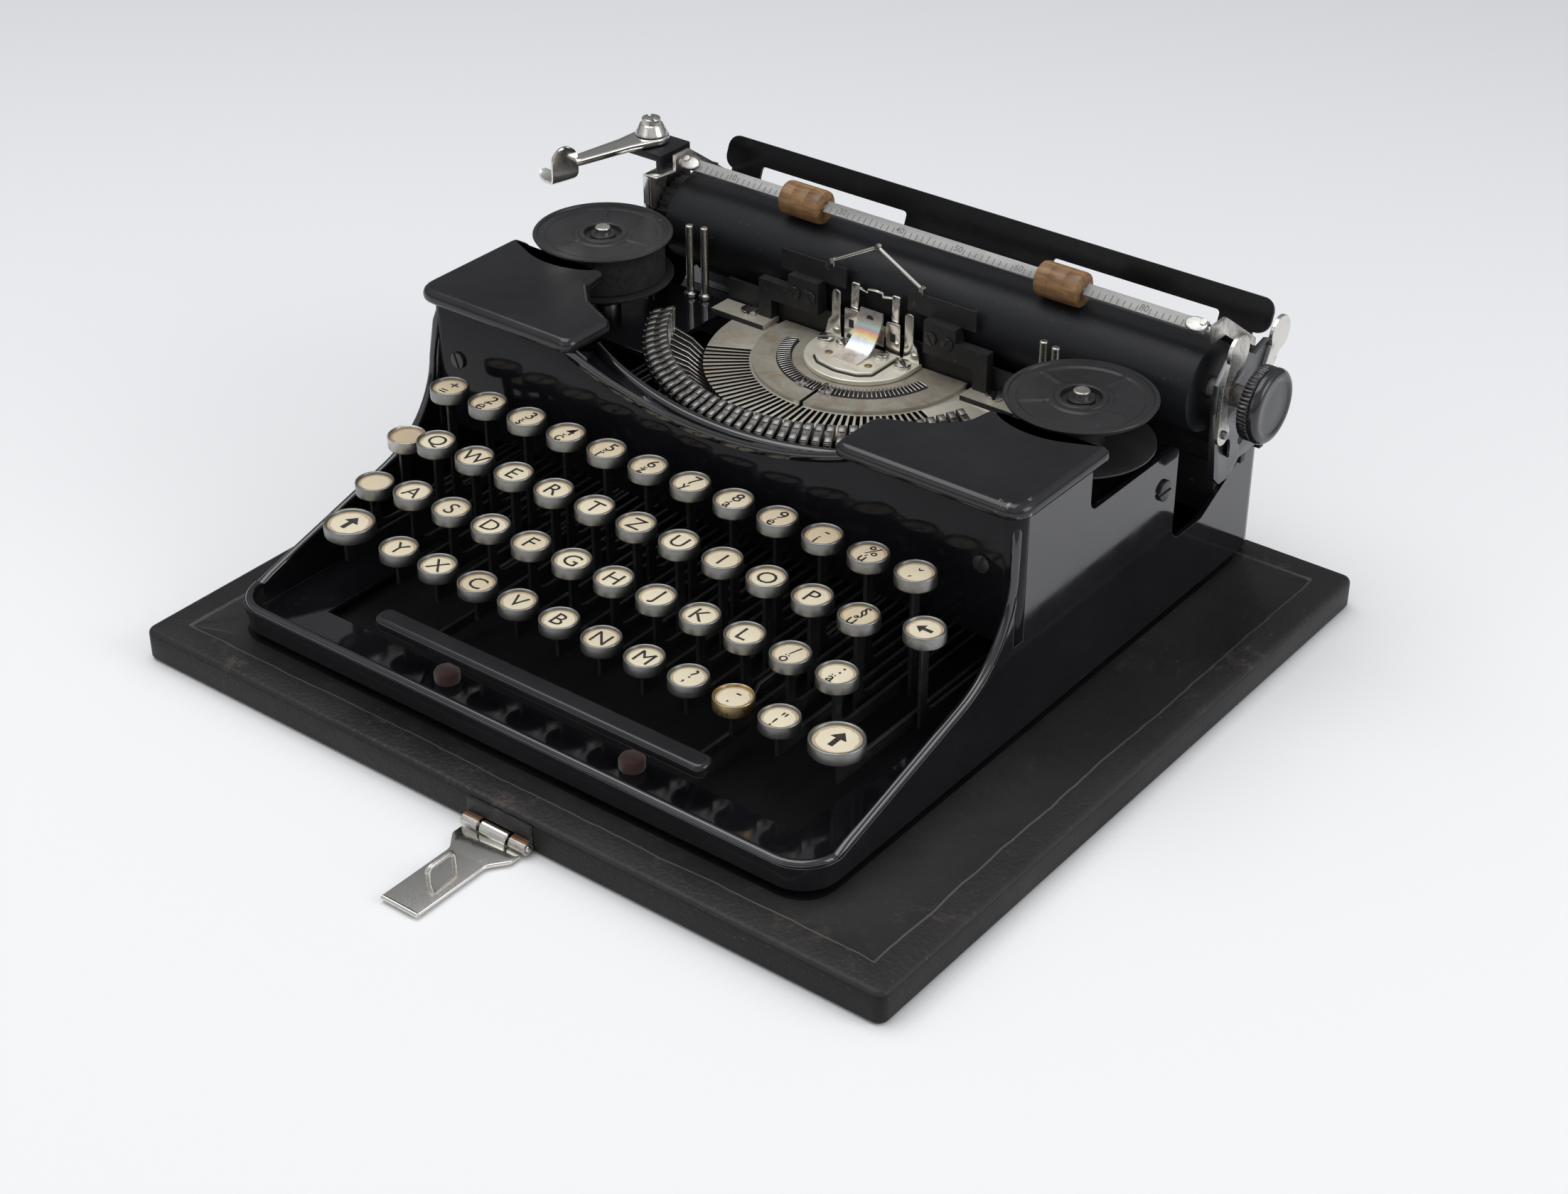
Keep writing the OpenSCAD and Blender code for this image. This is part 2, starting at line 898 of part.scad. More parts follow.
module backspace_key() {
    color("#c8b98e")
        key(back_x, back_y, back_z, key_d, back_x);
}

// Side view of a space-bar arm: from the bar down under the front row, then along to the rod
module arm_profile() {
    low = arm_dip_z - arm_dip_h;
    polygon([
        [space_y - stem_w / 2, lever_z], [space_y + stem_w / 2, space_z - eps],
        [arm_dip_y0 - arm_ramp / 2, arm_dip_z + arm_ramp / 2], [arm_dip_y0, arm_dip_z],
        [arm_dip_y1, arm_dip_z],
        [arm_dip_y1 + arm_ramp, lever_z + lever_h], [rod_y, lever_z + lever_h], [rod_y, lever_z],
        [arm_dip_y1 + arm_ramp + 2, lever_z], [arm_dip_y1 + 2, low], [arm_dip_y0 - 1.5, low],
        [arm_dip_y0 - arm_ramp / 2 - 2, arm_dip_z + 0.7], [space_y + 1.5, lever_z]]);
}

module space_bar() {
    color("#141416") {
        translate([space_x, space_y, space_z - space_h])
            linear_extrude(space_h)
                rounded_rect(space_len, space_depth, space_depth / 2 - 0.5);
        for (x = space_arms)
            along_x(x, lever_t)
                difference() {
                    union() {
                        arm_profile();
                        translate([rod_y, rod_z])
                            circle(boss_r);
                    }
                    translate([rod_y, rod_z])
                        circle(rod_d / 2 + run);
                }
    }
}

module felt_pads() {
    color("#6e1f1f")
        for (s = [-1, 1])
            translate([s * pad_x, space_y + 1, body_z + flange_t])
                cylinder(d = pad_d, h = pad_h);
}

// Turns a drawing in (radius, height) to typebar angle a about the segment's centre
module at_bar(a, w) {
    translate([print_x, segment_y, 0])
        rotate([0, 0, a])
            along_x(0, w)
                mirror([1, 0])
                    children();
}

// Half ring about the segment's centre, open to the rear
module half_ring(r0, r1, back) {
    translate([print_x, segment_y])
        intersection() {
            difference() {
                circle(r1);
                circle(r0);
            }
            translate([-r1, -r1])
                square([2 * r1, r1 + back]);
        }
}

module type_segment() {
    lug_a = fan + 6;
    color("#b9b2a2")
        difference() {
            union() {
                translate([0, 0, segment_z - ring_t])
                    linear_extrude(ring_t)
                        half_ring(plate_r1 - 1, segment_r, 4);
                translate([0, 0, plate_z - plate_t])
                    linear_extrude(plate_t)
                        half_ring(plate_r0, plate_r1, 6);
                for (s = [-1, 1])
                    translate([print_x, 0, segment_z - eps])
                        linear_extrude(wing_t + eps - 0.5)
                            polygon([
                                [s * (segment_r - 15), segment_y - 4], [s * wing_x, segment_y - 4],
                                [s * wing_x, ledge_y1 - 2], [s * (segment_r - 15), ledge_y1 - 2]]);
                translate([print_x, segment_y, pivot_z])
                    rotate([0, 0, -90 - lug_a])
                        rotate_extrude(angle = 2 * lug_a)
                            translate([pivot_r, 0])
                                circle(d = wire_d);
                for (s = [-1, 1])
                    at_bar(s * lug_a, 4)
                        translate([pivot_r - 2, pivot_z - 2])
                            square([4, plate_z - pivot_z + 1]);
            }
            for (i = [0 : bar_count - 1])
                at_bar(bar_angle(i), slot_w)
                    translate([i == swing_index ? pivot_r - 5 : slot_r, pivot_z + wire_d])
                        square([segment_r - (i == swing_index ? pivot_r - 5 : slot_r) + 1, 20]);
        }
}

// Side view of a typebar in (radius, height): a bent bar with a type slug near its end
module bar_profile() {
    r = pivot_r;
    z = pivot_z;
    difference() {
        union() {
            translate([r, z])
                circle(wire_d / 2 + 1.4);
            polygon([
                [r - 1, z + 1.2], [r + 16, z - 4.3], [r + 28, z + 4.2], [r + 36, z + 11.2],
                [r + 53, z + 19.4], [r + 53, z + 17], [r + 37, z + 8.8], [r + 29, z + 1.6],
                [r + 16.5, z - 6.8], [r - 1, z - 1.2]]);
        }
        translate([r, z])
            circle(wire_d / 2 + run);
    }
}

module slug_profile() {
    r = pivot_r;
    z = pivot_z;
    polygon([[r + 43, z + 13.2], [r + 52.8, z + 17.8], [r + 52, z + 19.5], [r + 43.5, z + 22.6]]);
}

// Typebar i at rest: the outer bars are tipped up a little towards their slugs
module typebar(i) {
    a = bar_angle(i);
    tip = side_rise * pow(a / fan, 2);
    at_bar(a, bar_t)
        translate([pivot_r, pivot_z])
            rotate(tip)
                translate([-pivot_r, -pivot_z])
                    bar_profile();
    at_bar(a, slug_w)
        translate([pivot_r, pivot_z])
            rotate(tip)
                translate([-pivot_r, -pivot_z])
                    slug_profile();
}

module typebars() {
    color("#8f8f8c")
        for (i = [0 : bar_count - 1])
            if (i != swing_index)
                typebar(i);
}

module typebar_h() {
    color("#a0a09c")
        typebar(swing_index);
}

// Curved rest under the typebars, tied to the front panel
module typebar_rest() {
    color("#18181a")
        translate([0, 0, rest_z - rest_h]) {
            linear_extrude(rest_h)
                half_ring(rest_r, rest_r + rest_w, -rest_r * cos(fan + 3));
            for (x = [-30, 0, 30])
                box([print_x + x - 4, panel_y + panel_t, 0],
                    [print_x + x + 4, segment_y - sqrt(pow(rest_r + 1, 2) - pow(abs(x) + 4, 2)), 3]);
        }
}

// Plate on the segment with two fingers that steer the type
module type_guide() {
    color("#d8d2c4") {
        translate([0, 0, guide_z])
            linear_extrude(guide_t)
                half_ring(0, guide_r, finger_y - segment_y + finger_t);
        for (s = [-1, 1])
            box([print_x + s * finger_x - finger_w / 2, finger_y, guide_z],
                [print_x + s * finger_x + finger_w / 2, finger_y + finger_t, guide_z + finger_h]);
    }
}

// Ribbon carrier that rises in front of the platen
module ribbon_vibrator() {
    vib_z = guide_z + guide_t + vib_up;
    color("#c9a56a") {
        box([print_x - vib_w / 2, vib_y - vib_t, vib_z], [print_x + vib_w / 2, vib_y, vib_z + vib_h]);
        box([print_x - vib_span / 2, vib_y - vib_t, vib_z + vib_h - vib_bar],
            [print_x + vib_span / 2, vib_y, vib_z + vib_h]);
        for (s = [-1, 1])
            translate([print_x + s * (vib_span - vib_prong_w) / 2, 0, 0])
                box([-vib_prong_w / 2, vib_y - vib_t, vib_z + vib_h - vib_bar],
                    [vib_prong_w / 2, vib_y, vib_z + vib_h + vib_prong]);
    }
}

// Black bar behind the segment with two blocks, two plates before the platen and a wire over the print point
module card_holder() {
    wire_z = card_z + card_h;
    foot_z = segment_z + wing_t - segment_up;
    bar_top = ledge_z + rail_bar_h;
    leg_x = segment_r - leg_in;
    peak = 11;
    half = 20;
    post = 3;
    color("#161618") {
        box([-ledge_in - wing_t, ledge_y1 - rail_bar_t, ledge_z], [ledge_in + wing_t, ledge_y1, bar_top]);
        for (s = [-1, 1])
            translate([print_x, 0, 0])
                mirror([s < 0 ? 1 : 0, 0, 0]) {
                    box([card_in, card_y - card_t, card_z], [card_out, card_y, card_z + card_h]);
                    box([block_x0, card_y - block_d, bar_top - eps],
                        [block_x1, ledge_y1, card_z - block_drop + eps]);
                    box([block_x0, card_y - block_d, card_z - block_drop], [block_x1, card_y, card_z + eps]);
                    box([leg_x - leg_w, card_y - block_d, foot_z], [leg_x, card_y - rail_bar_t, bar_top]);
                    box([block_x1 - 1, card_y - block_d, bar_top - eps],
                        [leg_x, card_y - rail_bar_t, card_z - block_d]);
                    translate([half, card_y - card_wire / 2, wire_z - 1]) {
                        cylinder(d = card_wire, h = post);
                        translate([0, card_knuckle / 2, post])
                            rotate([90, 0, 0])
                                cylinder(d = card_ball, h = card_knuckle);
                        translate([0, 0, post])
                            rotate([0, -atan2(half, peak), 0])
                                cylinder(d = card_wire, h = norm([half, peak]));
                    }
                }
        translate([print_x, card_y - card_wire / 2 + card_knuckle / 2, wire_z - 1 + post + peak])
            rotate([90, 0, 0])
                cylinder(d = card_ball, h = card_knuckle);
    }
}

// Spool shafts with their collars, and the ribbon guide posts
module ribbon_pins() {
    color("#a9aaad")
        for (s = [-1, 1]) {
            translate([s * spool_x, spool_y, ledge_z - ledge_t])
                cylinder(d = shaft_d, h = spool_top + 2 - ledge_z + ledge_t);
            translate([s * spool_x, spool_y, ledge_z])
                cylinder(d = collar_d, h = spool_z - gap - ledge_z);
            for (p = post_places) {
                translate([s * p[0], p[1], ledge_z])
                    cylinder(d = post_d, h = post_z - ledge_z);
                translate([s * p[0], p[1], ledge_z])
                    cylinder(d = post_d + 2, h = 2);
            }
        }
}

// A ribbon spool: two flanges with raised rims on a core
module spool(x) {
    r = spool_d / 2;
    translate([x, spool_y, spool_z])
        rotate_extrude($fn = 72)
            polygon([
                [shaft_d / 2 + run, 0], [r, 0], [r, flange_th], [spool_core_r, flange_th],
                [spool_core_r, spool_h - flange_th - 0.6], [r, spool_h - flange_th - 0.6], [r, spool_h],
                [r - 1.5, spool_h], [r - 1.5, spool_h - 0.6], [spool_core_r, spool_h - 0.6],
                [spool_core_r, spool_h], [shaft_d / 2 + run, spool_h]]);
}

module left_spool() {
    color("#1c1c1e")
        spool(-spool_x);
}

module right_spool() {
    color("#1c1c1e")
        spool(spool_x);
}

module ribbon_roll() {
    color("#0e0e10")
        translate([-spool_x, spool_y, spool_z + flange_th + 0.2])
            difference() {
                cylinder(r = ribbon_r, h = spool_h - 2 * flange_th - 1, $fn = 72);
                translate([0, 0, -eps])
                    cylinder(r = spool_core_r + run, h = spool_h);
            }
}

module spring_drum() {
    color("#77797c")
        translate([drum_x, drum_y, crossbar_z + drum_up])
            difference() {
                cylinder(r = drum_r, h = drum_h);
                translate([0, 0, -eps])
                    cylinder(d = drum_pin_d + 2 * run, h = drum_h + 2 * eps);
            }
}

module bell() {
    color("#b8b4a6")
        translate([bell_x, drum_y, crossbar_z + drum_up])
            difference() {
                sphere(r = bell_r);
                sphere(r = bell_r - bell_t);
                translate([0, 0, -bell_r])
                    cylinder(r = bell_r + eps, h = bell_r);
                cylinder(d = drum_pin_d, h = bell_r + eps);
            }
}

// A slotted screw head with its face at the origin, pointing along +Z
module screw_head(d) {
    h = d / 4;
    difference() {
        cylinder(d = d, h = h);
        translate([-d, -d / 12, h * 0.5])
            cube([2 * d, d / 6, h]);
    }
}

module screws() {
    wing_screw_x = segment_r - 4;
    color("#9a9a98") {
        for (s = [-1, 1]) {
            translate([s * (half_w - 13.5), panel_y, cover_z - 27])
                rotate([90, s * 20, 0])
                    screw_head(6);
            translate([s * half_w, segment_y + 2, well_z - 14])
                rotate([0, s * 90, 0])
                    screw_head(8);
            translate([print_x + s * wing_screw_x, segment_y + 2, segment_z + wing_t - 0.5])
                rotate(30)
                    screw_head(6);
            translate([print_x + s * (guide_r - 6.5), segment_y - 1, guide_z + guide_t])
                rotate(50)
                    screw_head(6);
            for (t = [-1, 1])
                translate([print_x + s * (block_x0 + 7 + t * 3.6), card_y - 5, card_z - block_h / 2 - 2])
                    rotate([90, t * 35, 0])
                        screw_head(5);
            translate([print_x + 30 * sin(s * 9), segment_y - 32 * cos(9), plate_z])
                rotate(20)
                    screw_head(5);
        }
    }
}

// Moves children to the carriage's rest place
module on_carriage() {
    translate([carriage_x, 0, 0])
        children();
}

// Side view of an end plate
module end_outline() {
    difference() {
        union() {
            polygon([
                [axis_y - 10, axis_z - 29], [axis_y - 6, axis_z - 33], [axis_y + 2, axis_z - 33],
                [axis_y + 7, axis_z - 28], [rail_y + 8.5, axis_z - 28], [rail_y + 8.5, axis_z - 22],
                [axis_y + 16, axis_z - 13], [axis_y + 16, axis_z - 3], [bail_pivot_y + 4, bail_pivot_z - 4],
                [bail_pivot_y + 5, bail_pivot_z + 4], [bail_pivot_y, bail_pivot_z + 6],
                [axis_y + 12, axis_z + 11], [axis_y + 5, axis_z + 15], [axis_y - 5, axis_z + 15],
                [axis_y - 12, axis_z + 8], [axis_y - 13, axis_z - 3]]);
            translate([axis_y, axis_z])
                circle(13);
        }
        translate([axis_y, axis_z])
            circle(axle_d / 2 + run);
        translate([feed_y, feed_z])
            circle(feed_axle_d / 2 + run);
    }
}

// A pin along X on the outer or inner side of an end plate
module end_pin(x0, x1, y, z, d) {
    rod_x(min(x0, x1), max(x0, x1), y, z, d);
}

module right_end_plate() {
    color("#5f646c")
        on_carriage() {
            along_x(end_x + end_t / 2, end_t)
                end_outline();
            end_pin(end_x + eps, bail_arm_x - bail_arm_t, bail_pivot_y, bail_pivot_z, bail_pin_d);
            end_pin(end_x + eps, release_x + release_t + 1, release_y, release_z, release_pin_d);
            end_pin(end_x + eps, release_x + release_t + 1, paper_rel_y, paper_rel_z, release_pin_d);
        }
}

// Left plate, with the bracket and stud that carry the line-space lever
module left_end_plate() {
    tab_t = 3;
    color("#141416")
        on_carriage() {
            along_x(-end_x - end_t / 2, end_t) {
                end_outline();
                translate([axis_y - 9, axis_z + 6])
                    square([18, line_z - axis_z - 6]);
            }
            end_pin(-end_x - eps, -bail_arm_x + bail_arm_t, bail_pivot_y, bail_pivot_z, bail_pin_d);
            box([line_x - 7, axis_y - 9, line_z - tab_t], [-end_x, axis_y + 9, line_z]);
            translate([line_x, axis_y, line_z - tab_t]) {
                cylinder(d = stud_d, h = tab_t + line_t + 2 * gap + 1);
                translate([0, 0, tab_t + line_t + 2 * gap])
                    cylinder(d1 = 13, d2 = 9, h = 4);
                translate([0, 0, tab_t + line_t + 2 * gap + 4 - eps])
                    cylinder(d = 7.5, h = 2.5 + eps);
            }
        }
}

// Channel that slides on the rail
module carriage_frame() {
    w = rail_w / 2 + gap;
    top = rail_z + rail_h + gap;
    color("#3b3b3d")
        on_carriage()
            along_x(0, 2 * end_x)
                polygon([
                    [rail_y - w - shoe_t, top - shoe_drop], [rail_y - w, top - shoe_drop], [rail_y - w, top],
                    [rail_y + w, top], [rail_y + w, top - shoe_drop], [rail_y + w + shoe_t, top - shoe_drop],
                    [rail_y + w + shoe_t, top + shoe_top], [rail_y - w - shoe_t, top + shoe_top]]);
}

// Leaning sheet behind the platen, with two long slots, standing on the channel
module paper_table() {
    lean = atan2(table_y1 - table_y0, table_z1 - table_z0);
    tall = norm([table_y1 - table_y0, table_z1 - table_z0]);
    foot_z = rail_z + rail_h + gap + shoe_top;
    narrow = end_x - 7;
    color("#0c0c0e")
        on_carriage() {
            translate([0, table_y1, table_z1])
                rotate([-lean, 0, 0])
                    rotate([90, 0, 0])
                        translate([0, 0, -table_t])
                            linear_extrude(table_t)
                                difference() {
                                    union() {
                                        translate([-narrow, -tall])
                                            square([2 * narrow, tall - 4]);
                                        translate([table_shift, -table_top_h / 2])
                                            rounded_rect(table_w, table_top_h, 5);
                                    }
                                    for (s = [-1, 1])
                                        translate([s * (table_slot_in + table_slot_w / 2), -table_slot_in_z])
                                            rounded_rect(table_slot_w, table_slot_h, 1.5);
                                }
            for (s = [-1, 1])
                box([s * 90 - 10, table_y0 + 0.2, foot_z], [s * 90 + 10, table_y0 + 1.6, table_z0 + 2]);
        }
}

module platen() {
    color("#1b1c20")
        on_carriage()
            difference() {
                rod_x(-platen_len / 2, platen_len / 2, axis_y, axis_z, 2 * platen_r, $fn = 96);
                rod_x(-platen_len / 2 - eps, platen_len / 2 + eps, axis_y, axis_z, axle_d + 2 * run);
            }
}

module platen_shaft() {
    color("#b9b7b0")
        on_carriage()
            rod_x(-end_x - end_t - 2, end_x + end_t + knob_out + knob_len - 2, axis_y, axis_z, axle_d);
}

module platen_ratchet() {
    color("#2a2a2c")
        on_carriage()
            along_x(-platen_len / 2 - ratchet_t / 2 - 0.5, ratchet_t)
                translate([axis_y, axis_z])
                    difference() {
                        polygon([for (i = [0 : 2 * ratchet_teeth - 1])
                            let (r = ratchet_r - (i % 2) * 1.4, a = i * 180 / ratchet_teeth + (i % 2) * 3)
                            [r * cos(a), r * sin(a)]]);
                        circle(axle_d / 2 + run);
                    }
}

module platen_knob() {
    x = end_x + end_t + knob_out;
    color("#121214")
        on_carriage()
            translate([x, axis_y, axis_z])
                rotate([0, 90, 0])
                    difference() {
                        rotate_extrude($fn = 72)
                            polygon([
                                [0, 0], [knob_d / 2 - 3, 0], [knob_d / 2, 2], [knob_d / 2, knob_len - 3],
                                [knob_d / 2 - 2.5, knob_len], [knob_d / 2 - 5, knob_len],
                                [knob_d / 2 - 6, knob_len - 0.8],
                                [0, knob_len - 0.8]]);
                        translate([0, 0, -eps])
                            cylinder(d = axle_d + 2 * run, h = knob_len - 2 + eps);
                    }
}

module feed_roller() {
    color("#2c2320")
        on_carriage() {
            rod_x(-platen_len / 2, platen_len / 2, feed_y, feed_z, 2 * feed_r);
            rod_x(-end_x - end_t, end_x + end_t, feed_y, feed_z, feed_axle_d);
        }
}

// Bail: two arms, a rod and a scale strip that leaves room for the rollers
module paper_bail() {
    cut = bail_roller_len / 2 + 1;
    color("#c4c2bb")
        on_carriage()
            difference() {
                union() {
                    rod_x(-bail_arm_x, bail_arm_x, bail_y, bail_z, bail_rod_d);
                    difference() {
                        translate([0, bail_y, bail_z])
                            rotate([35, 0, 0])
                                box([-bail_arm_x + 4, -scale_w / 2, bail_rod_d / 2 - 0.8],
                                    [bail_arm_x - 4, scale_w / 2, bail_rod_d / 2 + scale_t - 0.8]);
                        for (s = [-1, 1])
                            box([s * bail_roller_x - cut, bail_y - 20, bail_z - 20],
                                [s * bail_roller_x + cut, bail_y + 20, bail_z + 20]);
                    }
                    for (s = [-1, 1])
                        along_x(s * (bail_arm_x - bail_arm_t / 2), bail_arm_t)
                            polygon([
                                [bail_pivot_y + 3.5, bail_pivot_z - 3], [bail_pivot_y + 3.5, bail_pivot_z + 3],
                                [bail_y + 6, bail_z + 3.5], [bail_y - 3, bail_z + 3.5], [bail_y - 3, bail_z - 3],
                                [bail_y + 6, bail_z - 3], [bail_y + 15.5, bail_pivot_z + 6.5],
                                [bail_pivot_y - 3.5, bail_pivot_z - 3]]);
                }
                rod_x(-end_x, end_x, bail_pivot_y, bail_pivot_z, bail_pin_d + 2 * run);
            }
}

module bail_roller(x) {
    on_carriage()
        difference() {
            rod_x(x - bail_roller_len / 2, x + bail_roller_len / 2, bail_y, bail_z, 2 * bail_r);
            rod_x(x - bail_roller_len, x + bail_roller_len, bail_y, bail_z, bail_rod_d + 2 * run);
        }
}

module left_bail_roller() {
    color("#7a5434")
        bail_roller(-bail_roller_x);
}

module right_bail_roller() {
    color("#7a5434")
        bail_roller(bail_roller_x);
}

// Flat arm, standing a little outwards, with a curved finger pad at its front end
module line_space_lever() {
    pad_y = line_pad_r - line_lever_len;
    color("#b5b2aa")
        on_carriage()
            translate([line_x, axis_y, line_z + gap])
                rotate([0, 0, -line_swing])
                    difference() {
                        union() {
                            linear_extrude(line_t) {
                                circle(7);
                                polygon([
                                    [-line_w / 2, 0], [line_w / 2, 0], [line_w / 2 - 1, pad_y],
                                    [-line_w / 2 + 1, pad_y]]);
                            }
                            translate([-line_pad_r, pad_y, line_t - line_pad_h])
                                linear_extrude(line_pad_h + 5)
                                    intersection() {
                                        difference() {
                                            circle(line_pad_r + 0.75);
                                            circle(line_pad_r - 0.75);
                                        }
                                        translate([0, -2 * line_pad_r])
                                            square([2 * line_pad_r, 2.2 * line_pad_r]);
                                    }
                        }
                        translate([0, 0, -eps])
                            cylinder(d = stud_d + 2 * run, h = line_t + 2 * eps);
                    }
}

// Thumb lever in front of the right end plate
module carriage_release() {
    color("#b9b7b0")
        on_carriage()
            along_x(release_x + release_t / 2, release_t)
                difference() {
                    union() {
                        translate([release_y, release_z])
                            circle(4);
                        polygon([
                            [release_y - 4, release_z], [release_y + 2, release_z], [release_y + 1, axis_z + 6],
                            [axis_y - 2, axis_z + 13], [axis_y - 8, axis_z + 19], [release_y - 3, axis_z + 8]]);
                        translate([axis_y - 3, axis_z + 18])
                            circle(ear_r);
                    }
                    translate([release_y, release_z])
                        circle(release_pin_d / 2 + run);
                }
}

// Thumb lever behind the right end plate
module paper_release() {
    color("#a89f86")
        on_carriage()
            along_x(release_x + release_t / 2, release_t)
                difference() {
                    union() {
                        translate([paper_rel_y, paper_rel_z])
                            circle(4);
                        polygon([
                            [paper_rel_y - 3, paper_rel_z], [paper_rel_y + 3.5, paper_rel_z - 1],
                            [paper_rel_y + 12, paper_rel_z + 12], [paper_rel_y + 6, paper_rel_z + 16]]);
                        translate([paper_rel_y + 11, paper_rel_z + 17])
                            circle(ear_r);
                    }
                    translate([paper_rel_y, paper_rel_z])
                        circle(release_pin_d / 2 + run);
                }
}

base_board();
hasp_leaf();
hasp_pin();
hasp_strap();
rubber_feet();
body_shell();
front_panel();
left_cover();
right_cover();
rear_crossbar();
carriage_rail();
key_pivot_rod();
key_comb();
type_segment();
typebars();
typebar_rest();
type_guide();
ribbon_vibrator();
card_holder();
ribbon_pins();
spring_drum();
bell();
screws();
felt_pads();
left_spool();
ribbon_roll();
right_spool();
shift_keys();
shift_lock_key();
margin_key();
backspace_key();
space_bar();
typebar_h();
key_h();
carriage_frame();
left_end_plate();
right_end_plate();
paper_table();
platen();
platen_shaft();
platen_ratchet();
platen_knob();
feed_roller();
paper_bail();
left_bail_roller();
right_bail_roller();
line_space_lever();
carriage_release();
paper_release();
keys_01();
keys_02();
keys_03();
keys_04();
keys_05();
keys_06();
keys_07();
keys_08();
keys_09();
keys_10();
keys_11();
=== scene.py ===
import json
import math
import random

import bmesh
import bpy
from mathutils import Matrix, Vector

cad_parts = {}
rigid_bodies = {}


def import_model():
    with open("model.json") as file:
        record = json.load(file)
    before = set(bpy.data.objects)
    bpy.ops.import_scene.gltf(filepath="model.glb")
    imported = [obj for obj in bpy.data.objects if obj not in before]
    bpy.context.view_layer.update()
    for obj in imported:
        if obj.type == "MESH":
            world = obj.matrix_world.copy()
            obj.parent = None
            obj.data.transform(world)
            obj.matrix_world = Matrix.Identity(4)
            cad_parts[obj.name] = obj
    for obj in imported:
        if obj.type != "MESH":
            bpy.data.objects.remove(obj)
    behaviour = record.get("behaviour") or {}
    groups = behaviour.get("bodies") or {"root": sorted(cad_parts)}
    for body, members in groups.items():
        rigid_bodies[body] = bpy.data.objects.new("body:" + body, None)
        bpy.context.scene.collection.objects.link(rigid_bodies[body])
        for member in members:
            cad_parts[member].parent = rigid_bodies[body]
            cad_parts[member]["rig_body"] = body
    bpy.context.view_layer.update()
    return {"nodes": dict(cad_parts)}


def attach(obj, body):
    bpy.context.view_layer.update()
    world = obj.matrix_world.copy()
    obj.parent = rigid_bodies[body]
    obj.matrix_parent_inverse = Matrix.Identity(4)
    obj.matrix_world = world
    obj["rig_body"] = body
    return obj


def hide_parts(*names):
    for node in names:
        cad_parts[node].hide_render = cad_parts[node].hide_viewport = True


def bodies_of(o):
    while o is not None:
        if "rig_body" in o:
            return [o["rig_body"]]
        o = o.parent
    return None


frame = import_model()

bl_info = {
    "name": "Portable typewriter finishes",
    "version": (1, 0, 0),
    "blender": (4, 5, 0),
    "location": "View3D > Sidebar > Typewriter",
    "description": "Dresses the packed typewriter with its visible forms and finishes",
    "category": "Object",
}

MM = 0.001

# Places shared by several pieces, in millimetres, as in the part's source
BOARD_X0, BOARD_X1, BOARD_Y, BOARD_TOP = -156.0, 172.0, 149.0, 12.0
CARRIAGE_X = 16.0
AXIS_Y, AXIS_Z = 96.5, 101.0
BAIL_Y, BAIL_Z, BAIL_ROLLER_X = 92.5, 124.3, 57.0
LINE_PIVOT_X = -120.0
PRINT_X, SEGMENT_Y = 3.0, 71.0
BAR_COUNT, BAR_PITCH, BAR_H = 43, 3.0, 22
BAR_PIVOT_R, BAR_PIVOT_Z = 30.0, 70.0
SPOOL_X, SPOOL_Y = 107.5, 52.0
KEY_SIZE, SHIFT_SIZE = 14.5, 19.0
KEY_PITCH, FIRST_KEY_X = 19.0, -108.49
FIRST_ROW_Y, FIRST_ROW_Z, ROW_DEPTH, ROW_DROP = -34.0, 78.0, 18.0, 11.3
ROW_SHIFT, ROW_COUNT = (0, 0.5, 0.75, 1.25), (12, 11, 11, 10)
SHIFT_ARM_X, LEVER_HALF = 110.87, 0.75
ROD_Y, ROD_Z = 100.0, 31.5

# Angles in degrees above which an edge of a built shape and of a CAD solid stays sharp
SHARP, CAD_SHARP = 38.0, 32.0


def colour(name, text, value):
    return bpy.props.FloatVectorProperty(
        name=name, description=text, subtype='COLOR', size=3, min=0.0, max=1.0, default=value)


def distance(name, text, value):
    return bpy.props.FloatProperty(
        name=name, description=text, subtype='DISTANCE', unit='LENGTH', min=0.0, default=value * MM)


class TypewriterColours(bpy.types.PropertyGroup):
    """Colours of the main finishes"""
    enamel: colour("Enamel", "Gloss black of the body and front panel", (0.0055, 0.0055, 0.0068))
    satin: colour("Satin black", "Duller black of the covers and paper table", (0.0085, 0.0085, 0.0098))
    nickel: colour("Nickel", "Plated levers, hasp and screws", (0.74, 0.72, 0.68))
    segment: colour("Segment metal", "Pale stained metal of the type segment", (0.46, 0.43, 0.36))
    paper: colour("Key paper", "Paper discs under the key glass", (0.87, 0.79, 0.60))
    browned: colour("Browned paper", "Colour of aged key paper", (0.42, 0.25, 0.11))
    ink: colour("Legend ink", "Letters and digits on the keys", (0.022, 0.018, 0.015))
    cloth: colour("Leathercloth", "Grained covering of the board", (0.0115, 0.011, 0.0115))
    rubber: colour("Rubber", "Platen and feet", (0.0062, 0.0066, 0.008))
    wood: colour("Wood", "Bail rollers", (0.27, 0.145, 0.06))
    felt: colour("Felt", "Stops under the space bar", (0.085, 0.022, 0.016))


class TypewriterSizes(bpy.types.PropertyGroup):
    """Sizes of the finishing details"""
    bead: distance("Rim bead", "Radius of the rolled rim round the keyboard", 1.7)
    cover_round: distance("Cover edge", "Rounding of the covers' top edges", 3.2)
    letter: distance("Letter height", "Height of the single letters on the keys", 9.6)
    scale_step: distance("Scale step", "Distance between two marks on the bail scale", 2.6)
    floor: distance("Floor", "Width of the studio floor", 9000.0)


def colours():
    return bpy.context.scene.typewriter_colours


def sizes():
    return bpy.context.scene.typewriter_sizes


# Finishes

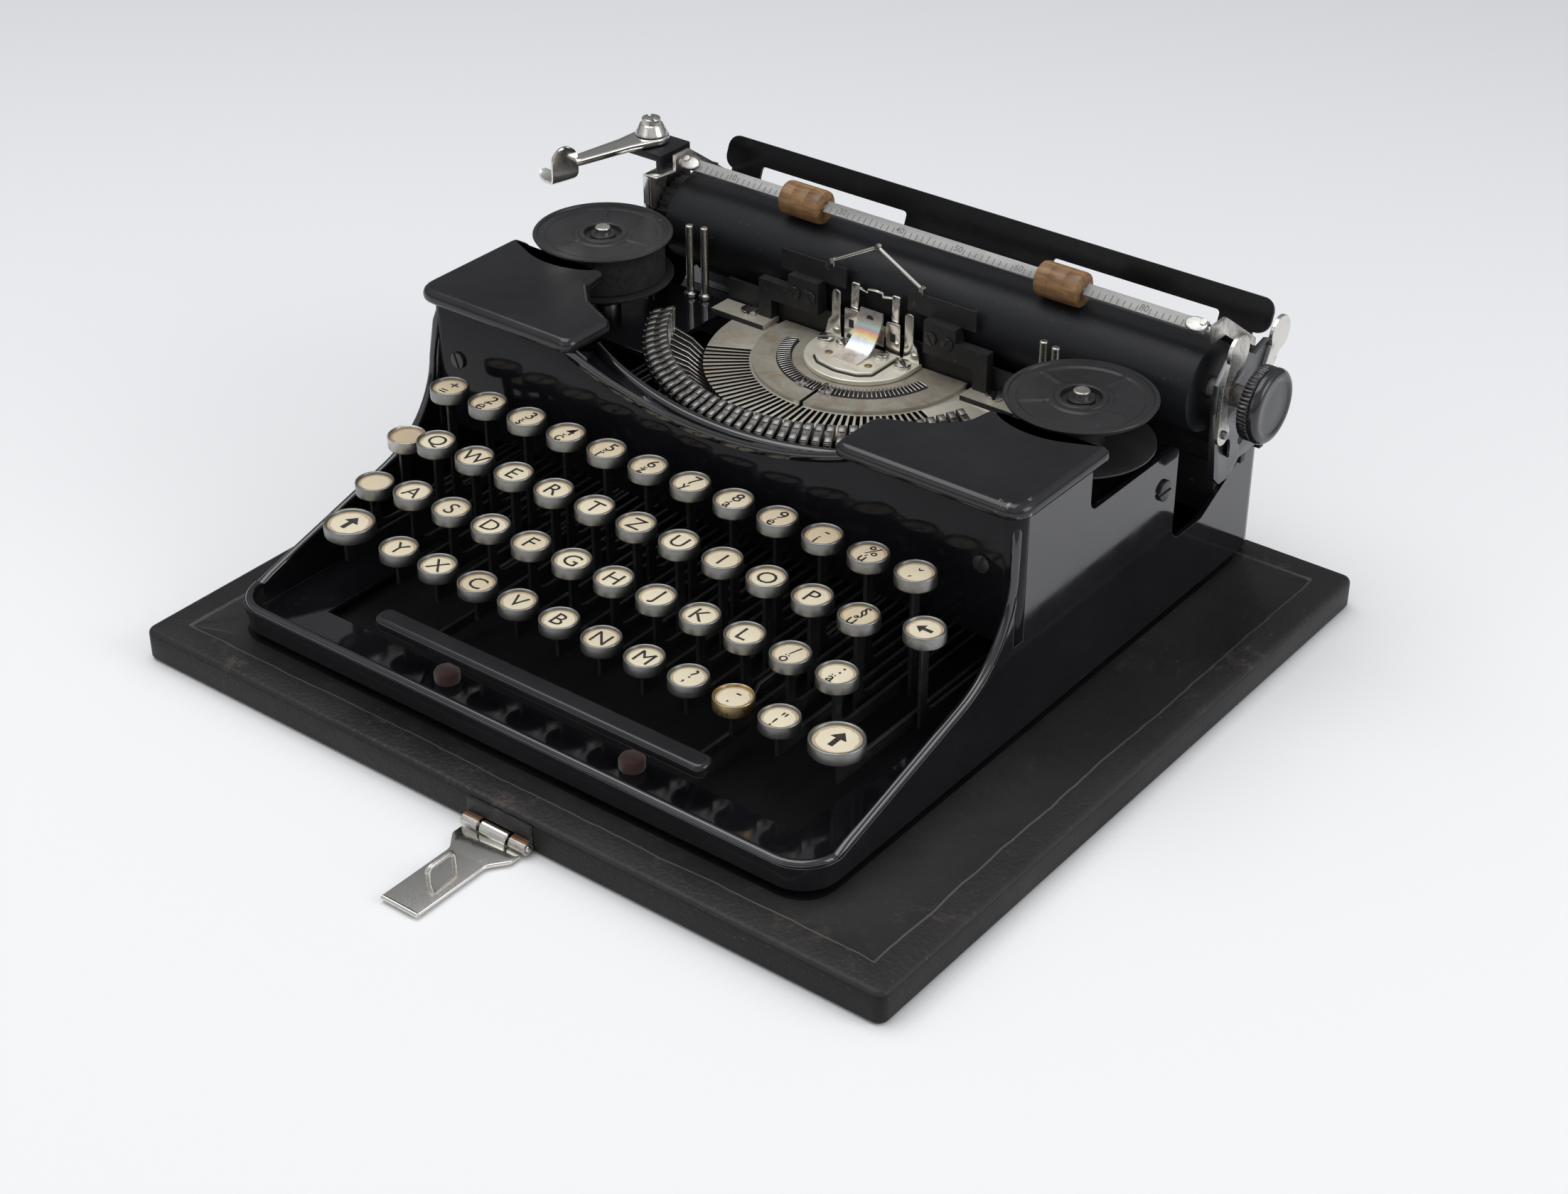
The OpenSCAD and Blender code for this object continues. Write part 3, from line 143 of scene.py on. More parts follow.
class Finish:
    """One procedural finish on a Principled shader, patterned in Object coordinates"""

    def __init__(self, name, metallic=0.0, roughness=0.5, **fixed):
        self.material = bpy.data.materials.new(name)
        self.material.use_nodes = True
        self.tree = self.material.node_tree
        self.shader = self.tree.nodes["Principled BSDF"]
        self.shader.inputs["Metallic"].default_value = metallic
        self.shader.inputs["Roughness"].default_value = roughness
        for socket, value in fixed.items():
            self.shader.inputs[socket.replace("_", " ")].default_value = value
        self.place = self.node("ShaderNodeTexCoord").outputs["Object"]

    def node(self, kind, feeds=None, **settings):
        made = self.tree.nodes.new(kind)
        for key, value in settings.items():
            setattr(made, key, value)
        for key, value in (feeds or {}).items():
            self.feed(made.inputs[key], value)
        return made

    def feed(self, socket, value):
        if isinstance(value, bpy.types.NodeSocket):
            self.tree.links.new(value, socket)
        elif socket.type == 'RGBA' and len(value) == 3:
            socket.default_value = (*value, 1.0)
        else:
            socket.default_value = value

    def shade(self, **feeds):
        for socket, value in feeds.items():
            self.feed(self.shader.inputs[socket.replace("_", " ")], value)

    def mapped(self, stretch):
        return self.node("ShaderNodeMapping", {"Vector": self.place, "Scale": stretch}).outputs["Vector"]

    def noise(self, scale, detail=3.0, rough=0.55, twist=0.0, at=None):
        return self.node("ShaderNodeTexNoise", {
            "Vector": at or self.place, "Scale": scale, "Detail": detail, "Roughness": rough,
            "Distortion": twist}).outputs["Fac"]

    def cells(self, scale, at):
        return self.node("ShaderNodeTexVoronoi", {"Vector": at, "Scale": scale},
                         feature='SMOOTH_F1').outputs["Distance"]

    def ramp(self, fac, *stops):
        made = self.node("ShaderNodeValToRGB", {"Fac": fac})
        band = made.color_ramp.elements
        while len(band) < len(stops):
            band.new(1.0)
        for item, (place, value) in zip(band, stops):
            item.position = place
            item.color = (value, value, value, 1.0) if isinstance(value, (int, float)) else (*value, 1.0)
        return made.outputs["Color"]

    def mix(self, fac, a, b):
        made = self.node("ShaderNodeMix", data_type='RGBA')
        for socket, value in ((made.inputs[0], fac), (made.inputs[6], a), (made.inputs[7], b)):
            self.feed(socket, value)
        return made.outputs[2]

    def sum(self, how, a, b):
        made = self.node("ShaderNodeMath", operation=how)
        self.feed(made.inputs[0], a)
        self.feed(made.inputs[1], b)
        return made.outputs[0]

    def axis(self, which):
        return self.node("ShaderNodeSeparateXYZ", {"Vector": self.place}).outputs[which]

    def attribute(self, name):
        return self.node("ShaderNodeAttribute", attribute_name=name).outputs["Fac"]

    def bump(self, height, strength, depth):
        self.shade(Normal=self.node("ShaderNodeBump", {
            "Height": height, "Strength": strength, "Distance": depth * MM}).outputs["Normal"])


def times(value, factor):
    return tuple(min(1.0, part * factor) for part in value)


def painted(name, base, rough, grime=0.5, wear=0.0, wear_colour=(0.16, 0.15, 0.14),
            peel=0.05, peel_size=900.0, ior=1.5, dust=0.5):
    """Black lacquer with cloudy tone, dried grime, dust specks and, on edges, rubbed metal"""
    f = Finish(name, roughness=sum(rough) / 2, IOR=ior)
    clouds = f.noise(26.0, 4.0, 0.6)
    tone = f.mix(f.ramp(clouds, (0.35, 0.0), (0.75, 1.0)), base, times(base, 1.9))
    dirt = f.ramp(f.noise(170.0, 6.0, 0.65, 0.4), (0.55, 0.0), (0.78, grime))
    tone = f.mix(dirt, tone, (0.052, 0.045, 0.038))
    specks = f.ramp(f.noise(1500.0, 2.0), (0.70, 0.0), (0.76, dust))
    tone = f.mix(specks, tone, (0.17, 0.165, 0.155))
    shine = f.ramp(f.noise(70.0, 5.0, 0.6), (0.30, rough[0]), (0.72, rough[1]))
    if wear:
        rubbed = f.ramp(f.noise(230.0, 6.0, 0.7), (0.66 - 0.3 * wear, 0.0), (0.74 - 0.3 * wear, 1.0))
        tone = f.mix(rubbed, tone, wear_colour)
        shine = f.mix(rubbed, shine, (0.42, 0.42, 0.42))
        f.shade(Metallic=f.sum('MULTIPLY', rubbed, 0.6))
    f.shade(Base_Color=tone, Roughness=shine)
    f.bump(f.noise(peel_size, 3.0), peel, 0.12)
    return f.material


def plated(name, base, rough, stain=(0.20, 0.14, 0.085), cover=0.3, brush=None, pits=0.5, metallic=1.0):
    """Bright metal with cloudy tarnish, dark pits and fine polishing marks"""
    f = Finish(name, metallic=metallic, roughness=sum(rough) / 2)
    film = f.ramp(f.noise(120.0, 6.0, 0.62, 0.6), (0.62 - 0.25 * cover, 0.0), (0.90 - 0.2 * cover, 0.9))
    tone = f.mix(film, base, stain)
    haze = f.noise(38.0, 3.0)
    tone = f.mix(f.ramp(haze, (0.3, 0.0), (0.8, 0.3)), tone, times(base, 0.6))
    pit = f.ramp(f.noise(900.0, 4.0, 0.7), (0.66, 0.0), (0.74, pits))
    tone = f.mix(pit, tone, times(stain, 0.35))
    lines = f.noise(1100.0, 2.0, at=f.mapped(brush or (1, 1, 1)))
    shine = f.mix(film, f.ramp(lines, (0.3, rough[0]), (0.7, rough[1])), (0.55, 0.55, 0.55))
    f.shade(Base_Color=tone, Roughness=shine)
    f.bump(f.sum('SUBTRACT', lines, pit), 0.08, 0.06)
    return f.material


def key_paper():
    """Cream paper under glass, browned and darkened by painted shade towards its rim, and browned more on
    some keys
    """
    f = Finish("key_paper", roughness=0.42, Coat_Weight=0.55, Coat_Roughness=0.06)
    rim, age = f.attribute("rim"), f.attribute("age")
    mottle = f.noise(210.0, 5.0, 0.65)
    # Towards the rim the paper darkens: partly real browning, partly painted shade of the ring's edge
    edge = f.ramp(f.sum('ADD', rim, f.sum('MULTIPLY', mottle, 0.30)), (0.98, 0.0), (1.24, 0.55))
    tone = f.mix(f.ramp(mottle, (0.3, 0.0), (0.75, 0.30)), colours().paper[:], (0.76, 0.60, 0.38))
    tone = f.mix(f.sum('MULTIPLY', age, 0.9), tone, colours().browned[:])
    tone = f.mix(edge, tone, times(colours().browned[:], 0.75))
    spots = f.ramp(f.noise(700.0, 3.0), (0.70, 0.0), (0.76, 0.35))
    f.shade(Base_Color=f.mix(spots, tone, times(colours().browned[:], 0.5)),
            Roughness=f.ramp(mottle, (0.3, 0.34), (0.7, 0.52)))
    f.bump(f.noise(2600.0, 3.0), 0.04, 0.04)
    return f.material


def legend_ink():
    """Dark printed letters, thin in places"""
    f = Finish("legend_ink", roughness=0.4, Coat_Weight=0.55, Coat_Roughness=0.06)
    fade = f.ramp(f.noise(900.0, 4.0, 0.7), (0.52, 0.0), (0.80, 0.55))
    f.shade(Base_Color=f.mix(fade, colours().ink[:], (0.20, 0.15, 0.09)),
            Roughness=f.ramp(fade, (0.0, 0.35), (1.0, 0.55)))
    f.bump(f.noise(1800.0, 2.0), 0.05, 0.02)
    return f.material


def leathercloth(name, base, grain, scuff, ior=1.38):
    """Embossed black covering cloth with rubbed brown scuffs"""
    f = Finish(name, roughness=0.5, IOR=ior)
    pores = f.cells(620.0, f.mapped((1.0, 1.0, 1.6)))
    folds = f.noise(300.0, 5.0, 0.6, 0.8)
    clouds = f.noise(9.0, 5.0, 0.62)
    tone = f.mix(f.ramp(clouds, (0.35, 0.0), (0.72, 1.0)), base, times(base, 2.2))
    rub = f.sum('MULTIPLY', f.ramp(f.noise(48.0, 7.0, 0.68, 0.5), (0.56, 0.0), (0.74, 1.0)),
                f.ramp(folds, (0.45, 0.15), (0.62, 1.0)))
    tone = f.mix(f.sum('MULTIPLY', rub, scuff), tone, (0.115, 0.085, 0.062))
    dust = f.ramp(f.noise(850.0, 3.0), (0.66, 0.0), (0.74, 0.35))
    f.shade(Base_Color=f.mix(dust, tone, (0.14, 0.135, 0.13)),
            Roughness=f.ramp(f.sum('ADD', clouds, f.sum('MULTIPLY', rub, 0.3)), (0.35, 0.34), (0.85, 0.66)))
    f.bump(f.sum('ADD', f.sum('MULTIPLY', pores, 0.9), f.sum('MULTIPLY', folds, 0.8)), grain, 0.35)
    return f.material


def rubber(name, base):
    """Dull hardened rubber with worn bands and lint"""
    f = Finish(name, roughness=0.55, IOR=1.36)
    bands = f.noise(30.0, 4.0, 0.6, at=f.mapped((0.35, 1.4, 1.4)))
    tone = f.mix(f.ramp(bands, (0.35, 0.0), (0.70, 1.0)), base, times(base, 1.8))
    lint = f.ramp(f.noise(1100.0, 3.0, at=f.mapped((0.5, 1, 1))), (0.68, 0.0), (0.75, 0.4))
    f.shade(Base_Color=f.mix(lint, tone, (0.16, 0.16, 0.16)),
            Roughness=f.ramp(bands, (0.3, 0.42), (0.75, 0.64)))
    f.bump(f.noise(1300.0, 4.0, 0.6), 0.10, 0.06)
    return f.material


def turned_wood():
    """Brown varnished wood with grain along the roller"""
    f = Finish("turned_wood", roughness=0.45)
    grain = f.noise(170.0, 5.0, 0.6, 0.4, f.mapped((0.35, 2.2, 2.2)))
    fibre = f.noise(900.0, 3.0, at=f.mapped((0.15, 1, 1)))
    base = colours().wood[:]
    tone = f.mix(f.ramp(grain, (0.35, 0.0), (0.68, 1.0)), times(base, 0.55), times(base, 1.35))
    f.shade(Base_Color=f.mix(f.ramp(fibre, (0.5, 0.0), (0.75, 0.6)), tone, times(base, 0.35)),
            Roughness=f.ramp(grain, (0.3, 0.35), (0.7, 0.55)))
    f.bump(fibre, 0.15, 0.08)
    return f.material


def wool_felt():
    """Red felt with matted fibres"""
    f = Finish("wool_felt", roughness=0.95, Sheen_Weight=0.4, Sheen_Roughness=0.6)
    fibre = f.noise(1500.0, 5.0, 0.7, 2.0)
    base = colours().felt[:]
    f.shade(Base_Color=f.mix(f.ramp(fibre, (0.35, 0.0), (0.7, 1.0)), times(base, 0.45), times(base, 1.5)))
    f.bump(fibre, 0.6, 0.3)
    return f.material


def wound_ribbon():
    """Turns of inked cloth ribbon seen from their edge"""
    f = Finish("wound_ribbon", roughness=0.85)
    weave = f.noise(2400.0, 2.0, at=f.mapped((1, 1, 0.3)))
    tone = f.ramp(f.noise(420.0, 3.0), (0.3, (0.006, 0.006, 0.008)), (0.7, (0.022, 0.021, 0.024)))
    f.shade(Base_Color=f.mix(f.ramp(weave, (0.55, 0.0), (0.72, 0.5)), tone, (0.05, 0.048, 0.05)))
    f.bump(weave, 0.4, 0.15)
    return f.material


def tinted_steel():
    """Sprung steel with straw, purple and blue heat colours towards its top"""
    f = Finish("tinted_steel", metallic=0.65, roughness=0.3)
    foot, bands_per_metre = 84.8 * MM, 62.0
    rise = f.sum('MULTIPLY', f.sum('SUBTRACT', f.axis("Z"), foot), bands_per_metre)
    band = f.sum('ADD', rise, f.sum('MULTIPLY', f.noise(120.0, 3.0), 0.16))
    tone = f.ramp(band, (0.10, (0.80, 0.66, 0.50)), (0.20, (0.78, 0.74, 0.74)), (0.30, (0.62, 0.72, 0.86)),
                  (0.42, (0.92, 0.86, 0.55)), (0.50, (0.88, 0.55, 0.22)), (0.57, (0.62, 0.34, 0.44)),
                  (0.64, (0.42, 0.60, 0.52)), (0.74, (0.46, 0.43, 0.38)), (1.0, (0.42, 0.40, 0.36)))
    f.shade(Base_Color=tone, Roughness=f.ramp(f.noise(500.0, 4.0), (0.3, 0.18), (0.7, 0.38)))
    f.bump(f.noise(900.0, 3.0), 0.06, 0.05)
    return f.material


FINISH_MAKERS = {
    "enamel": lambda: painted("gloss_enamel", colours().enamel[:], (0.035, 0.10), 0.12, peel=0.012,
                              peel_size=500.0, ior=1.75, dust=0.2),
    "panel_enamel": lambda: painted("panel_enamel", colours().enamel[:], (0.05, 0.12), 0.12, peel=0.012,
                                    peel_size=500.0, ior=1.27, dust=0.15),
    "enamel_edge": lambda: painted("rubbed_enamel", colours().enamel[:], (0.06, 0.15), 0.2, 0.14, peel=0.02,
                                   ior=1.75, dust=0.3),
    "satin": lambda: painted("satin_black", colours().satin[:], (0.26, 0.36), 0.12, peel=0.03,
                             peel_size=2600.0, ior=1.34, dust=0.2),
    "table_black": lambda: painted("table_black", times(colours().satin[:], 0.5), (0.16, 0.26), 0.12,
                                   peel=0.03, ior=1.3, dust=0.2),
    "satin_edge": lambda: painted("rolled_satin", colours().satin[:], (0.12, 0.20), 0.2, peel=0.02,
                                  peel_size=1800.0, dust=0.2),
    "chipped": lambda: painted("chipped_satin", colours().satin[:], (0.16, 0.26), 0.3, 0.36,
                               (0.30, 0.25, 0.21), 0.05, 1800.0),
    "dull_black": lambda: painted("dull_black", (0.008, 0.008, 0.009), (0.40, 0.58), 0.4, 0.06, dust=0.35),
    # Near black for the board's top under the body: painted shade
    "unlit_black": lambda: painted("unlit_black", (0.003, 0.003, 0.0034), (0.55, 0.70), 0.1, ior=1.25,
                                   dust=0.08),
    "block_grey": lambda: painted("block_grey", (0.042, 0.044, 0.052), (0.34, 0.48), 0.3, 0.1),
    "spool_black": lambda: painted("spool_black", (0.017, 0.017, 0.018), (0.30, 0.42), 0.25, 0.05, ior=1.4,
                                   dust=0.35),
    "moulded": lambda: painted("moulded_black", (0.009, 0.009, 0.010), (0.15, 0.26), 0.2, peel=0.03, ior=1.6,
                               dust=0.3),
    "nickel": lambda: plated("nickel", colours().nickel[:], (0.12, 0.22), cover=0.15, pits=0.25),
    "nickel_worn": lambda: plated("worn_nickel", times(colours().nickel[:], 0.86), (0.22, 0.38), cover=0.6),
    "ring": lambda: plated("key_ring_nickel", (0.29, 0.29, 0.278), (0.32, 0.42), (0.20, 0.18, 0.15), 0.12,
                           pits=0.2),
    "ring_brass": lambda: plated("bare_brass_ring", (0.50, 0.38, 0.20), (0.24, 0.38), cover=0.6),
    "segment": lambda: plated("segment_metal", colours().segment[:], (0.34, 0.50), (0.30, 0.20, 0.11), 0.5,
                              pits=0.7, metallic=0.4),
    "segment_dark": lambda: plated("segment_plate", times(colours().segment[:], 0.85), (0.36, 0.52),
                                   (0.22, 0.15, 0.09), 0.75, pits=0.8, metallic=0.45),
    "guide": lambda: plated("guide_nickel", (0.84, 0.79, 0.67), (0.28, 0.42), (0.42, 0.32, 0.20), 0.2,
                            pits=0.25, metallic=0.5),
    "bar_steel": lambda: plated("typebar_steel", (0.42, 0.41, 0.39), (0.24, 0.38), (0.07, 0.055, 0.04), 0.45),
    "slug_steel": lambda: plated("slug_steel", (0.105, 0.10, 0.095), (0.30, 0.45), (0.04, 0.03, 0.022), 0.5),
    "type_metal": lambda: plated("type_metal", (0.25, 0.245, 0.235), (0.34, 0.48), (0.07, 0.055, 0.04), 0.5),
    "lever_steel": lambda: painted("lever_steel", (0.012, 0.012, 0.013), (0.26, 0.42), 0.5, 0.22,
                                   (0.08, 0.075, 0.07)),
    "grey_steel": lambda: plated("grey_steel", (0.165, 0.168, 0.18), (0.28, 0.42), (0.16, 0.14, 0.12), 0.4),
    "aged_brass": lambda: plated("aged_brass", (0.36, 0.27, 0.15), (0.32, 0.50), (0.12, 0.075, 0.04), 0.8),
    "rust": lambda: plated("rusty_leaf", (0.22, 0.125, 0.07), (0.45, 0.65), (0.10, 0.05, 0.025), 0.8,
                           metallic=0.6),
    "scale_plate": lambda: plated("scale_plate", (0.34, 0.34, 0.33), (0.42, 0.55), cover=0.2,
                                  brush=(0.1, 1, 1), metallic=0.3),
    "paper": key_paper,
    "ink": legend_ink,
    "cloth": lambda: leathercloth("leathercloth", colours().cloth[:], 0.55, 0.75),
    # The board's sides: the same cloth at under half the top's colour, painted shade
    "cloth_painted_shade": lambda: leathercloth("cloth_sides_painted_shade", times(colours().cloth[:], 0.45), 0.4, 0.4, 1.3),
    "seam": lambda: leathercloth("seam_cloth", (0.055, 0.050, 0.047), 0.4, 0.9),
    "cloth_sheet": lambda: leathercloth("lining_cloth", times(colours().cloth[:], 1.25), 0.22, 0.45),
    "rubber": lambda: rubber("platen_rubber", colours().rubber[:]),
    "foot_rubber": lambda: rubber("foot_rubber", (0.018, 0.017, 0.016)),
    "wood": turned_wood,
    "felt": wool_felt,
    "ribbon": wound_ribbon,
    "tinted": tinted_steel,
}
FINISHES = {}


def finish(name):
    if name not in FINISHES:
        FINISHES[name] = FINISH_MAKERS[name]()
    return FINISHES[name]


# Mesh tools

def circle(steps):
    return [(math.cos(math.tau * i / steps), math.sin(math.tau * i / steps)) for i in range(steps)]


def arc(cx, cy, radius, a0, a1, steps):
    turn = [math.radians(a0 + (a1 - a0) * i / steps) for i in range(steps + 1)]
    return [(cx + radius * math.cos(a), cy + radius * math.sin(a)) for a in turn]


def rectangle(x0, x1, y0, y1):
    return [(x0, y0), (x1, y0), (x1, y1), (x0, y1)]


def between(a, b, steps, first=0):
    """Points on the line from a to b, with b itself left out"""
    return [(a[0] + (b[0] - a[0]) * k / steps, a[1] + (b[1] - a[1]) * k / steps) for k in range(first, steps)]


def winding(outline):
    """1 where a closed outline runs anticlockwise, and -1 where it does not"""
    area = sum(a[0] * b[1] - b[0] * a[1] for a, b in zip(outline, outline[1:] + outline[:1]))
    return 1.0 if area > 0 else -1.0


def filleted(corners, steps=6):
    """Closed outline through (x, y, radius) corners, each rounded by its radius"""
    out = []
    for i, (x, y, r) in enumerate(corners):
        here = Vector((x, y))
        before = Vector(corners[i - 1][:2]) - here
        after = Vector(corners[(i + 1) % len(corners)][:2]) - here
        room = min(before.length, after.length) * 0.49
        before.normalize()
        after.normalize()
        half = math.acos(max(-1.0, min(1.0, before.dot(after)))) / 2
        if r <= 0 or half > 1.55:
            out.append((x, y))
            continue
        back = min(r / math.tan(half), room)
        a, b = here + before * back, here + after * back
        for k in range(steps + 1):
            t = k / steps
            p = a * (1 - t) ** 2 + here * 2 * t * (1 - t) + b * t * t
            out.append((p.x, p.y))
    return out


def soft_rectangle(x0, x1, y0, y1, radius, steps=6):
    return filleted([(x, y, radius) for x, y in rectangle(x0, x1, y0, y1)], steps)


def spaced(outline, step):
    """The same closed outline with points no further apart than step"""
    out = []
    for i, p in enumerate(outline):
        q = outline[(i + 1) % len(outline)]
        out += between(p, q, max(1, int(math.dist(p, q) / step)))
    return out


def inset(outline, depth):
    """A closed outline drawn in by depth, whichever way round it runs"""
    side = winding(outline)
    out = []
    for i, p in enumerate(outline):
        here = Vector(p)
        a = (here - Vector(outline[i - 1])).normalized()
        b = (Vector(outline[(i + 1) % len(outline)]) - here).normalized()
        na, nb = Vector((-a.y, a.x)) * side, Vector((-b.y, b.x)) * side
        mid = na + nb
        if mid.length < 1e-6:
            mid = na
        mid.normalize()
        reach = depth / max(0.45, mid.dot(na))
        out.append(tuple(here + mid * reach))
    return out


def rounded_loop(x0, x1, y0, y1, radius, along=70, turn=6):
    """A rounded rectangle that always has the same number of points, whatever its size"""
    out = []
    for cx, cy, a in ((x1 - radius, y0 + radius, -90), (x1 - radius, y1 - radius, 0),
                      (x0 + radius, y1 - radius, 90), (x0 + radius, y0 + radius, 180)):
        bend = arc(cx, cy, radius, a, a + 90, turn)
        if out:
            out += between(out[-1], bend[0], along, 1)
        out += bend
    return out + between(out[-1], out[0], along, 1)


def thickness(outline):
    """Inward direction at each point of a closed outline and how far the outline reaches there"""
    side = winding(outline)
    found = []
    n = len(outline)
    for i, p in enumerate(outline):
        here = Vector(p)
        ahead = (Vector(outline[(i + 1) % n]) - Vector(outline[i - 1])).normalized()
        inward = Vector((-ahead.y, ahead.x)) * side
        room = 1e9
        for j in range(n):
            k = (j + 1) % n
            if min((i - j) % n, (j - i) % n) < 3 or min((i - k) % n, (k - i) % n) < 3:
                continue
            a, b = Vector(outline[j]) - here, Vector(outline[k]) - here
            d = b - a
            cross = inward.x * d.y - inward.y * d.x
            if abs(cross) < 1e-9:
                continue
            t = (a.x * d.y - a.y * d.x) / cross
            u = (a.x * inward.y - a.y * inward.x) / cross
            if t > 0 and 0 <= u <= 1:
                room = min(room, t)
        found.append((here, inward, room))
    return found


TURNED = {'X': lambda u, v, w: (w, u, v), 'Y': lambda u, v, w: (u, w, v), 'Z': lambda u, v, w: (u, v, w)}


class Shape:
    """Collects the faces of one piece, in millimetres, with a finish for each part of it"""

    def __init__(self):
        self.bm = bmesh.new()
        self.finishes = []

    def index(self, name):
        if name not in self.finishes:
            self.finishes.append(name)
        return self.finishes.index(name)

    def face(self, corners, look):
        try:
            made = self.bm.faces.new(corners)
        except ValueError:
            return
        made.material_index = look

    def loft(self, rings, look, closed=False, caps=True, looks=None):
        """Skins rings of points; looks may name another finish for each band"""
        rows = [[self.bm.verts.new(Vector(p) * MM) for p in ring] for ring in rings]
        for i in range(len(rows) if closed else len(rows) - 1):
            a, b = rows[i], rows[(i + 1) % len(rows)]
            mark = self.index(looks[i] if looks else look)
            for k in range(len(a)):
                n = (k + 1) % len(a)
                self.face((a[k], a[n], b[n], b[k]), mark)
        if caps and not closed:
            self.face(rows[0], self.index(looks[0] if looks else look))
            self.face(rows[-1], self.index(looks[-1] if looks else look))

    def lathe(self, profile, centre, along, look, steps=64, warp=None, closed=False, caps=True):
        """Turns (radius, height) points about an axis through centre; warp may move each point"""
        turn, rings = TURNED[along], []
        for r, h in profile:
            ring = []
            for i in range(steps):
                a = math.tau * i / steps
                rr, hh = warp(r, h, a) if warp else (r, h)
                ring.append(Vector(turn(rr * math.cos(a), rr * math.sin(a), hh)) + Vector(centre))
            rings.append(ring)
        self.loft(rings, look, closed, caps)

    def plate(self, outline, low, high, along, look, rounding=0.3, steps=3, edge=None):
        """An outline pulled along an axis from low to high with rounded rims"""
        turn = TURNED[along]
        rings, looks = [], []
        corner = [(rounding * (1 - math.sin(math.pi / 2 * k / steps)),
                   rounding * (1 - math.cos(math.pi / 2 * k / steps))) for k in range(steps + 1)]
        for d, h in corner:
            rings.append([turn(*p, low + h) for p in inset(outline, d)])
        for d, h in reversed(corner):
            rings.append([turn(*p, high - h) for p in inset(outline, d)])
        for i in range(len(rings) - 1):
            looks.append(edge if edge and i != steps else look)
        self.loft(rings, look, looks=looks)
        mark = self.index(look)
        self.bm.faces.ensure_lookup_table()
        for made in self.bm.faces[-2:]:
            made.material_index = mark

    def tube(self, path, radius, look, sides=12):
        """A round bar along a path of points"""
        points = [Vector(p) for p in path]
        side = None
        rings = []
        for i, p in enumerate(points):
            ahead = (points[min(i + 1, len(points) - 1)] - points[max(i - 1, 0)]).normalized()
            if side is None:
                side = ahead.orthogonal().normalized()
            side = (side - ahead * side.dot(ahead)).normalized()
            up = ahead.cross(side)
            rings.append([p + side * (radius * c) + up * (radius * s) for c, s in circle(sides)])
        self.loft(rings, look)

    def add(self, mesh, place=None, keep=False):
        """Takes in a finished mesh with its own finishes and removes it"""
        first = len(self.bm.faces)
        marks = []
        for material in mesh.materials:
            name = next(k for k, v in FINISHES.items() if v == material)
            marks.append(self.index(name))
        if place:
            mesh.transform(place)
        self.bm.from_mesh(mesh)
        self.bm.faces.ensure_lookup_table()
        for made in self.bm.faces[first:]:
            made.material_index = marks[made.material_index] if marks else 0
        if not keep:
            bpy.data.meshes.remove(mesh)

    def mesh(self, name, sharp=SHARP):
        """The finished mesh, with doubles merged and faces turned outwards"""
        bmesh.ops.remove_doubles(self.bm, verts=self.bm.verts, dist=1e-6)
        loose = [f for f in self.bm.faces if f.calc_area() < 1e-14]
        if loose:
            bmesh.ops.delete(self.bm, geom=loose, context='FACES')
        bmesh.ops.recalc_face_normals(self.bm, faces=self.bm.faces)
        made = bpy.data.meshes.new(name)
        self.bm.to_mesh(made)
        self.bm.free()
        for look in self.finishes:
            made.materials.append(finish(look))
        smooth(made, sharp)
        return made

    def stand_for(self, node, name, sharp=SHARP):
        """Places the shape as a piece that rides on a CAD node's body in the node's stead"""
        return place(name, self.mesh(name, sharp), body_of(node), (node,))


def smooth(mesh, sharp):
    mesh.shade_smooth()
    mesh.set_sharp_from_angle(angle=math.radians(sharp))


def body_of(node):
    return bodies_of(frame["nodes"][node])[0]


def place(name, mesh, body, nodes=(), slot=None):
    """Links a finished mesh as a piece, rides it on its body and hides the nodes it stands for"""
    made = bpy.data.objects.new(name, mesh)
    bpy.context.scene.collection.objects.link(made)
    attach(made, body)
    if nodes:
        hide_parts(*nodes)
    slot or nodes[0]
    return made


def evaluated(host):
    """The mesh a helper object has once its modifiers have run; the helper is removed"""
    graph = bpy.context.evaluated_depsgraph_get()
    made = bpy.data.meshes.new_from_object(host.evaluated_get(graph), preserve_all_data_layers=True,
                                           depsgraph=graph)
    old = host.data
    host.modifiers.clear()
    bpy.data.objects.remove(host)
    if isinstance(old, bpy.types.Mesh):
        bpy.data.meshes.remove(old)
    else:
        bpy.data.curves.remove(old)
    return made


def rounded_copy(node, look, edge=None, width=0.3, segments=2, pick=None):
    """A copy of a CAD solid with its flats joined and its edges rounded; pick may choose a finish by face"""
    if node not in frame["nodes"]:
        raise RuntimeError("The frame has no node " + node)
    mesh = frame["nodes"][node].data.copy()
    mesh.materials.clear()
    bm = bmesh.new()
    bm.from_mesh(mesh)
    bmesh.ops.remove_doubles(bm, verts=bm.verts, dist=3e-6)
    bmesh.ops.dissolve_limit(bm, angle_limit=math.radians(0.5), verts=bm.verts, edges=bm.edges)
    for f in bm.faces:
        f.material_index = 0
    bm.to_mesh(mesh)
    bm.free()
    smooth(mesh, CAD_SHARP)
    host = bpy.data.objects.new("rounding", mesh)
    bpy.context.scene.collection.objects.link(host)
    names = [look] + ([edge] if edge else [])
    for name in names:
        mesh.materials.append(finish(name))
    if width:
        bevel = host.modifiers.new("Rounding", 'BEVEL')
        bevel.width = width * MM
        bevel.segments = segments
        bevel.limit_method = 'ANGLE'
        bevel.angle_limit = math.radians(CAD_SHARP)
        bevel.use_clamp_overlap = True
        bevel.material = 1 if edge else -1
        even = host.modifiers.new("Even shading", 'WEIGHTED_NORMAL')
        even.keep_sharp = True
    made = evaluated(host)
    if pick:
        for name in pick[0]:
            made.materials.append(finish(name))
        for f in made.polygons:
            choice = pick[1](f.center / MM, f.normal)
            if choice is not None:
                f.material_index = len(names) + choice
    return made


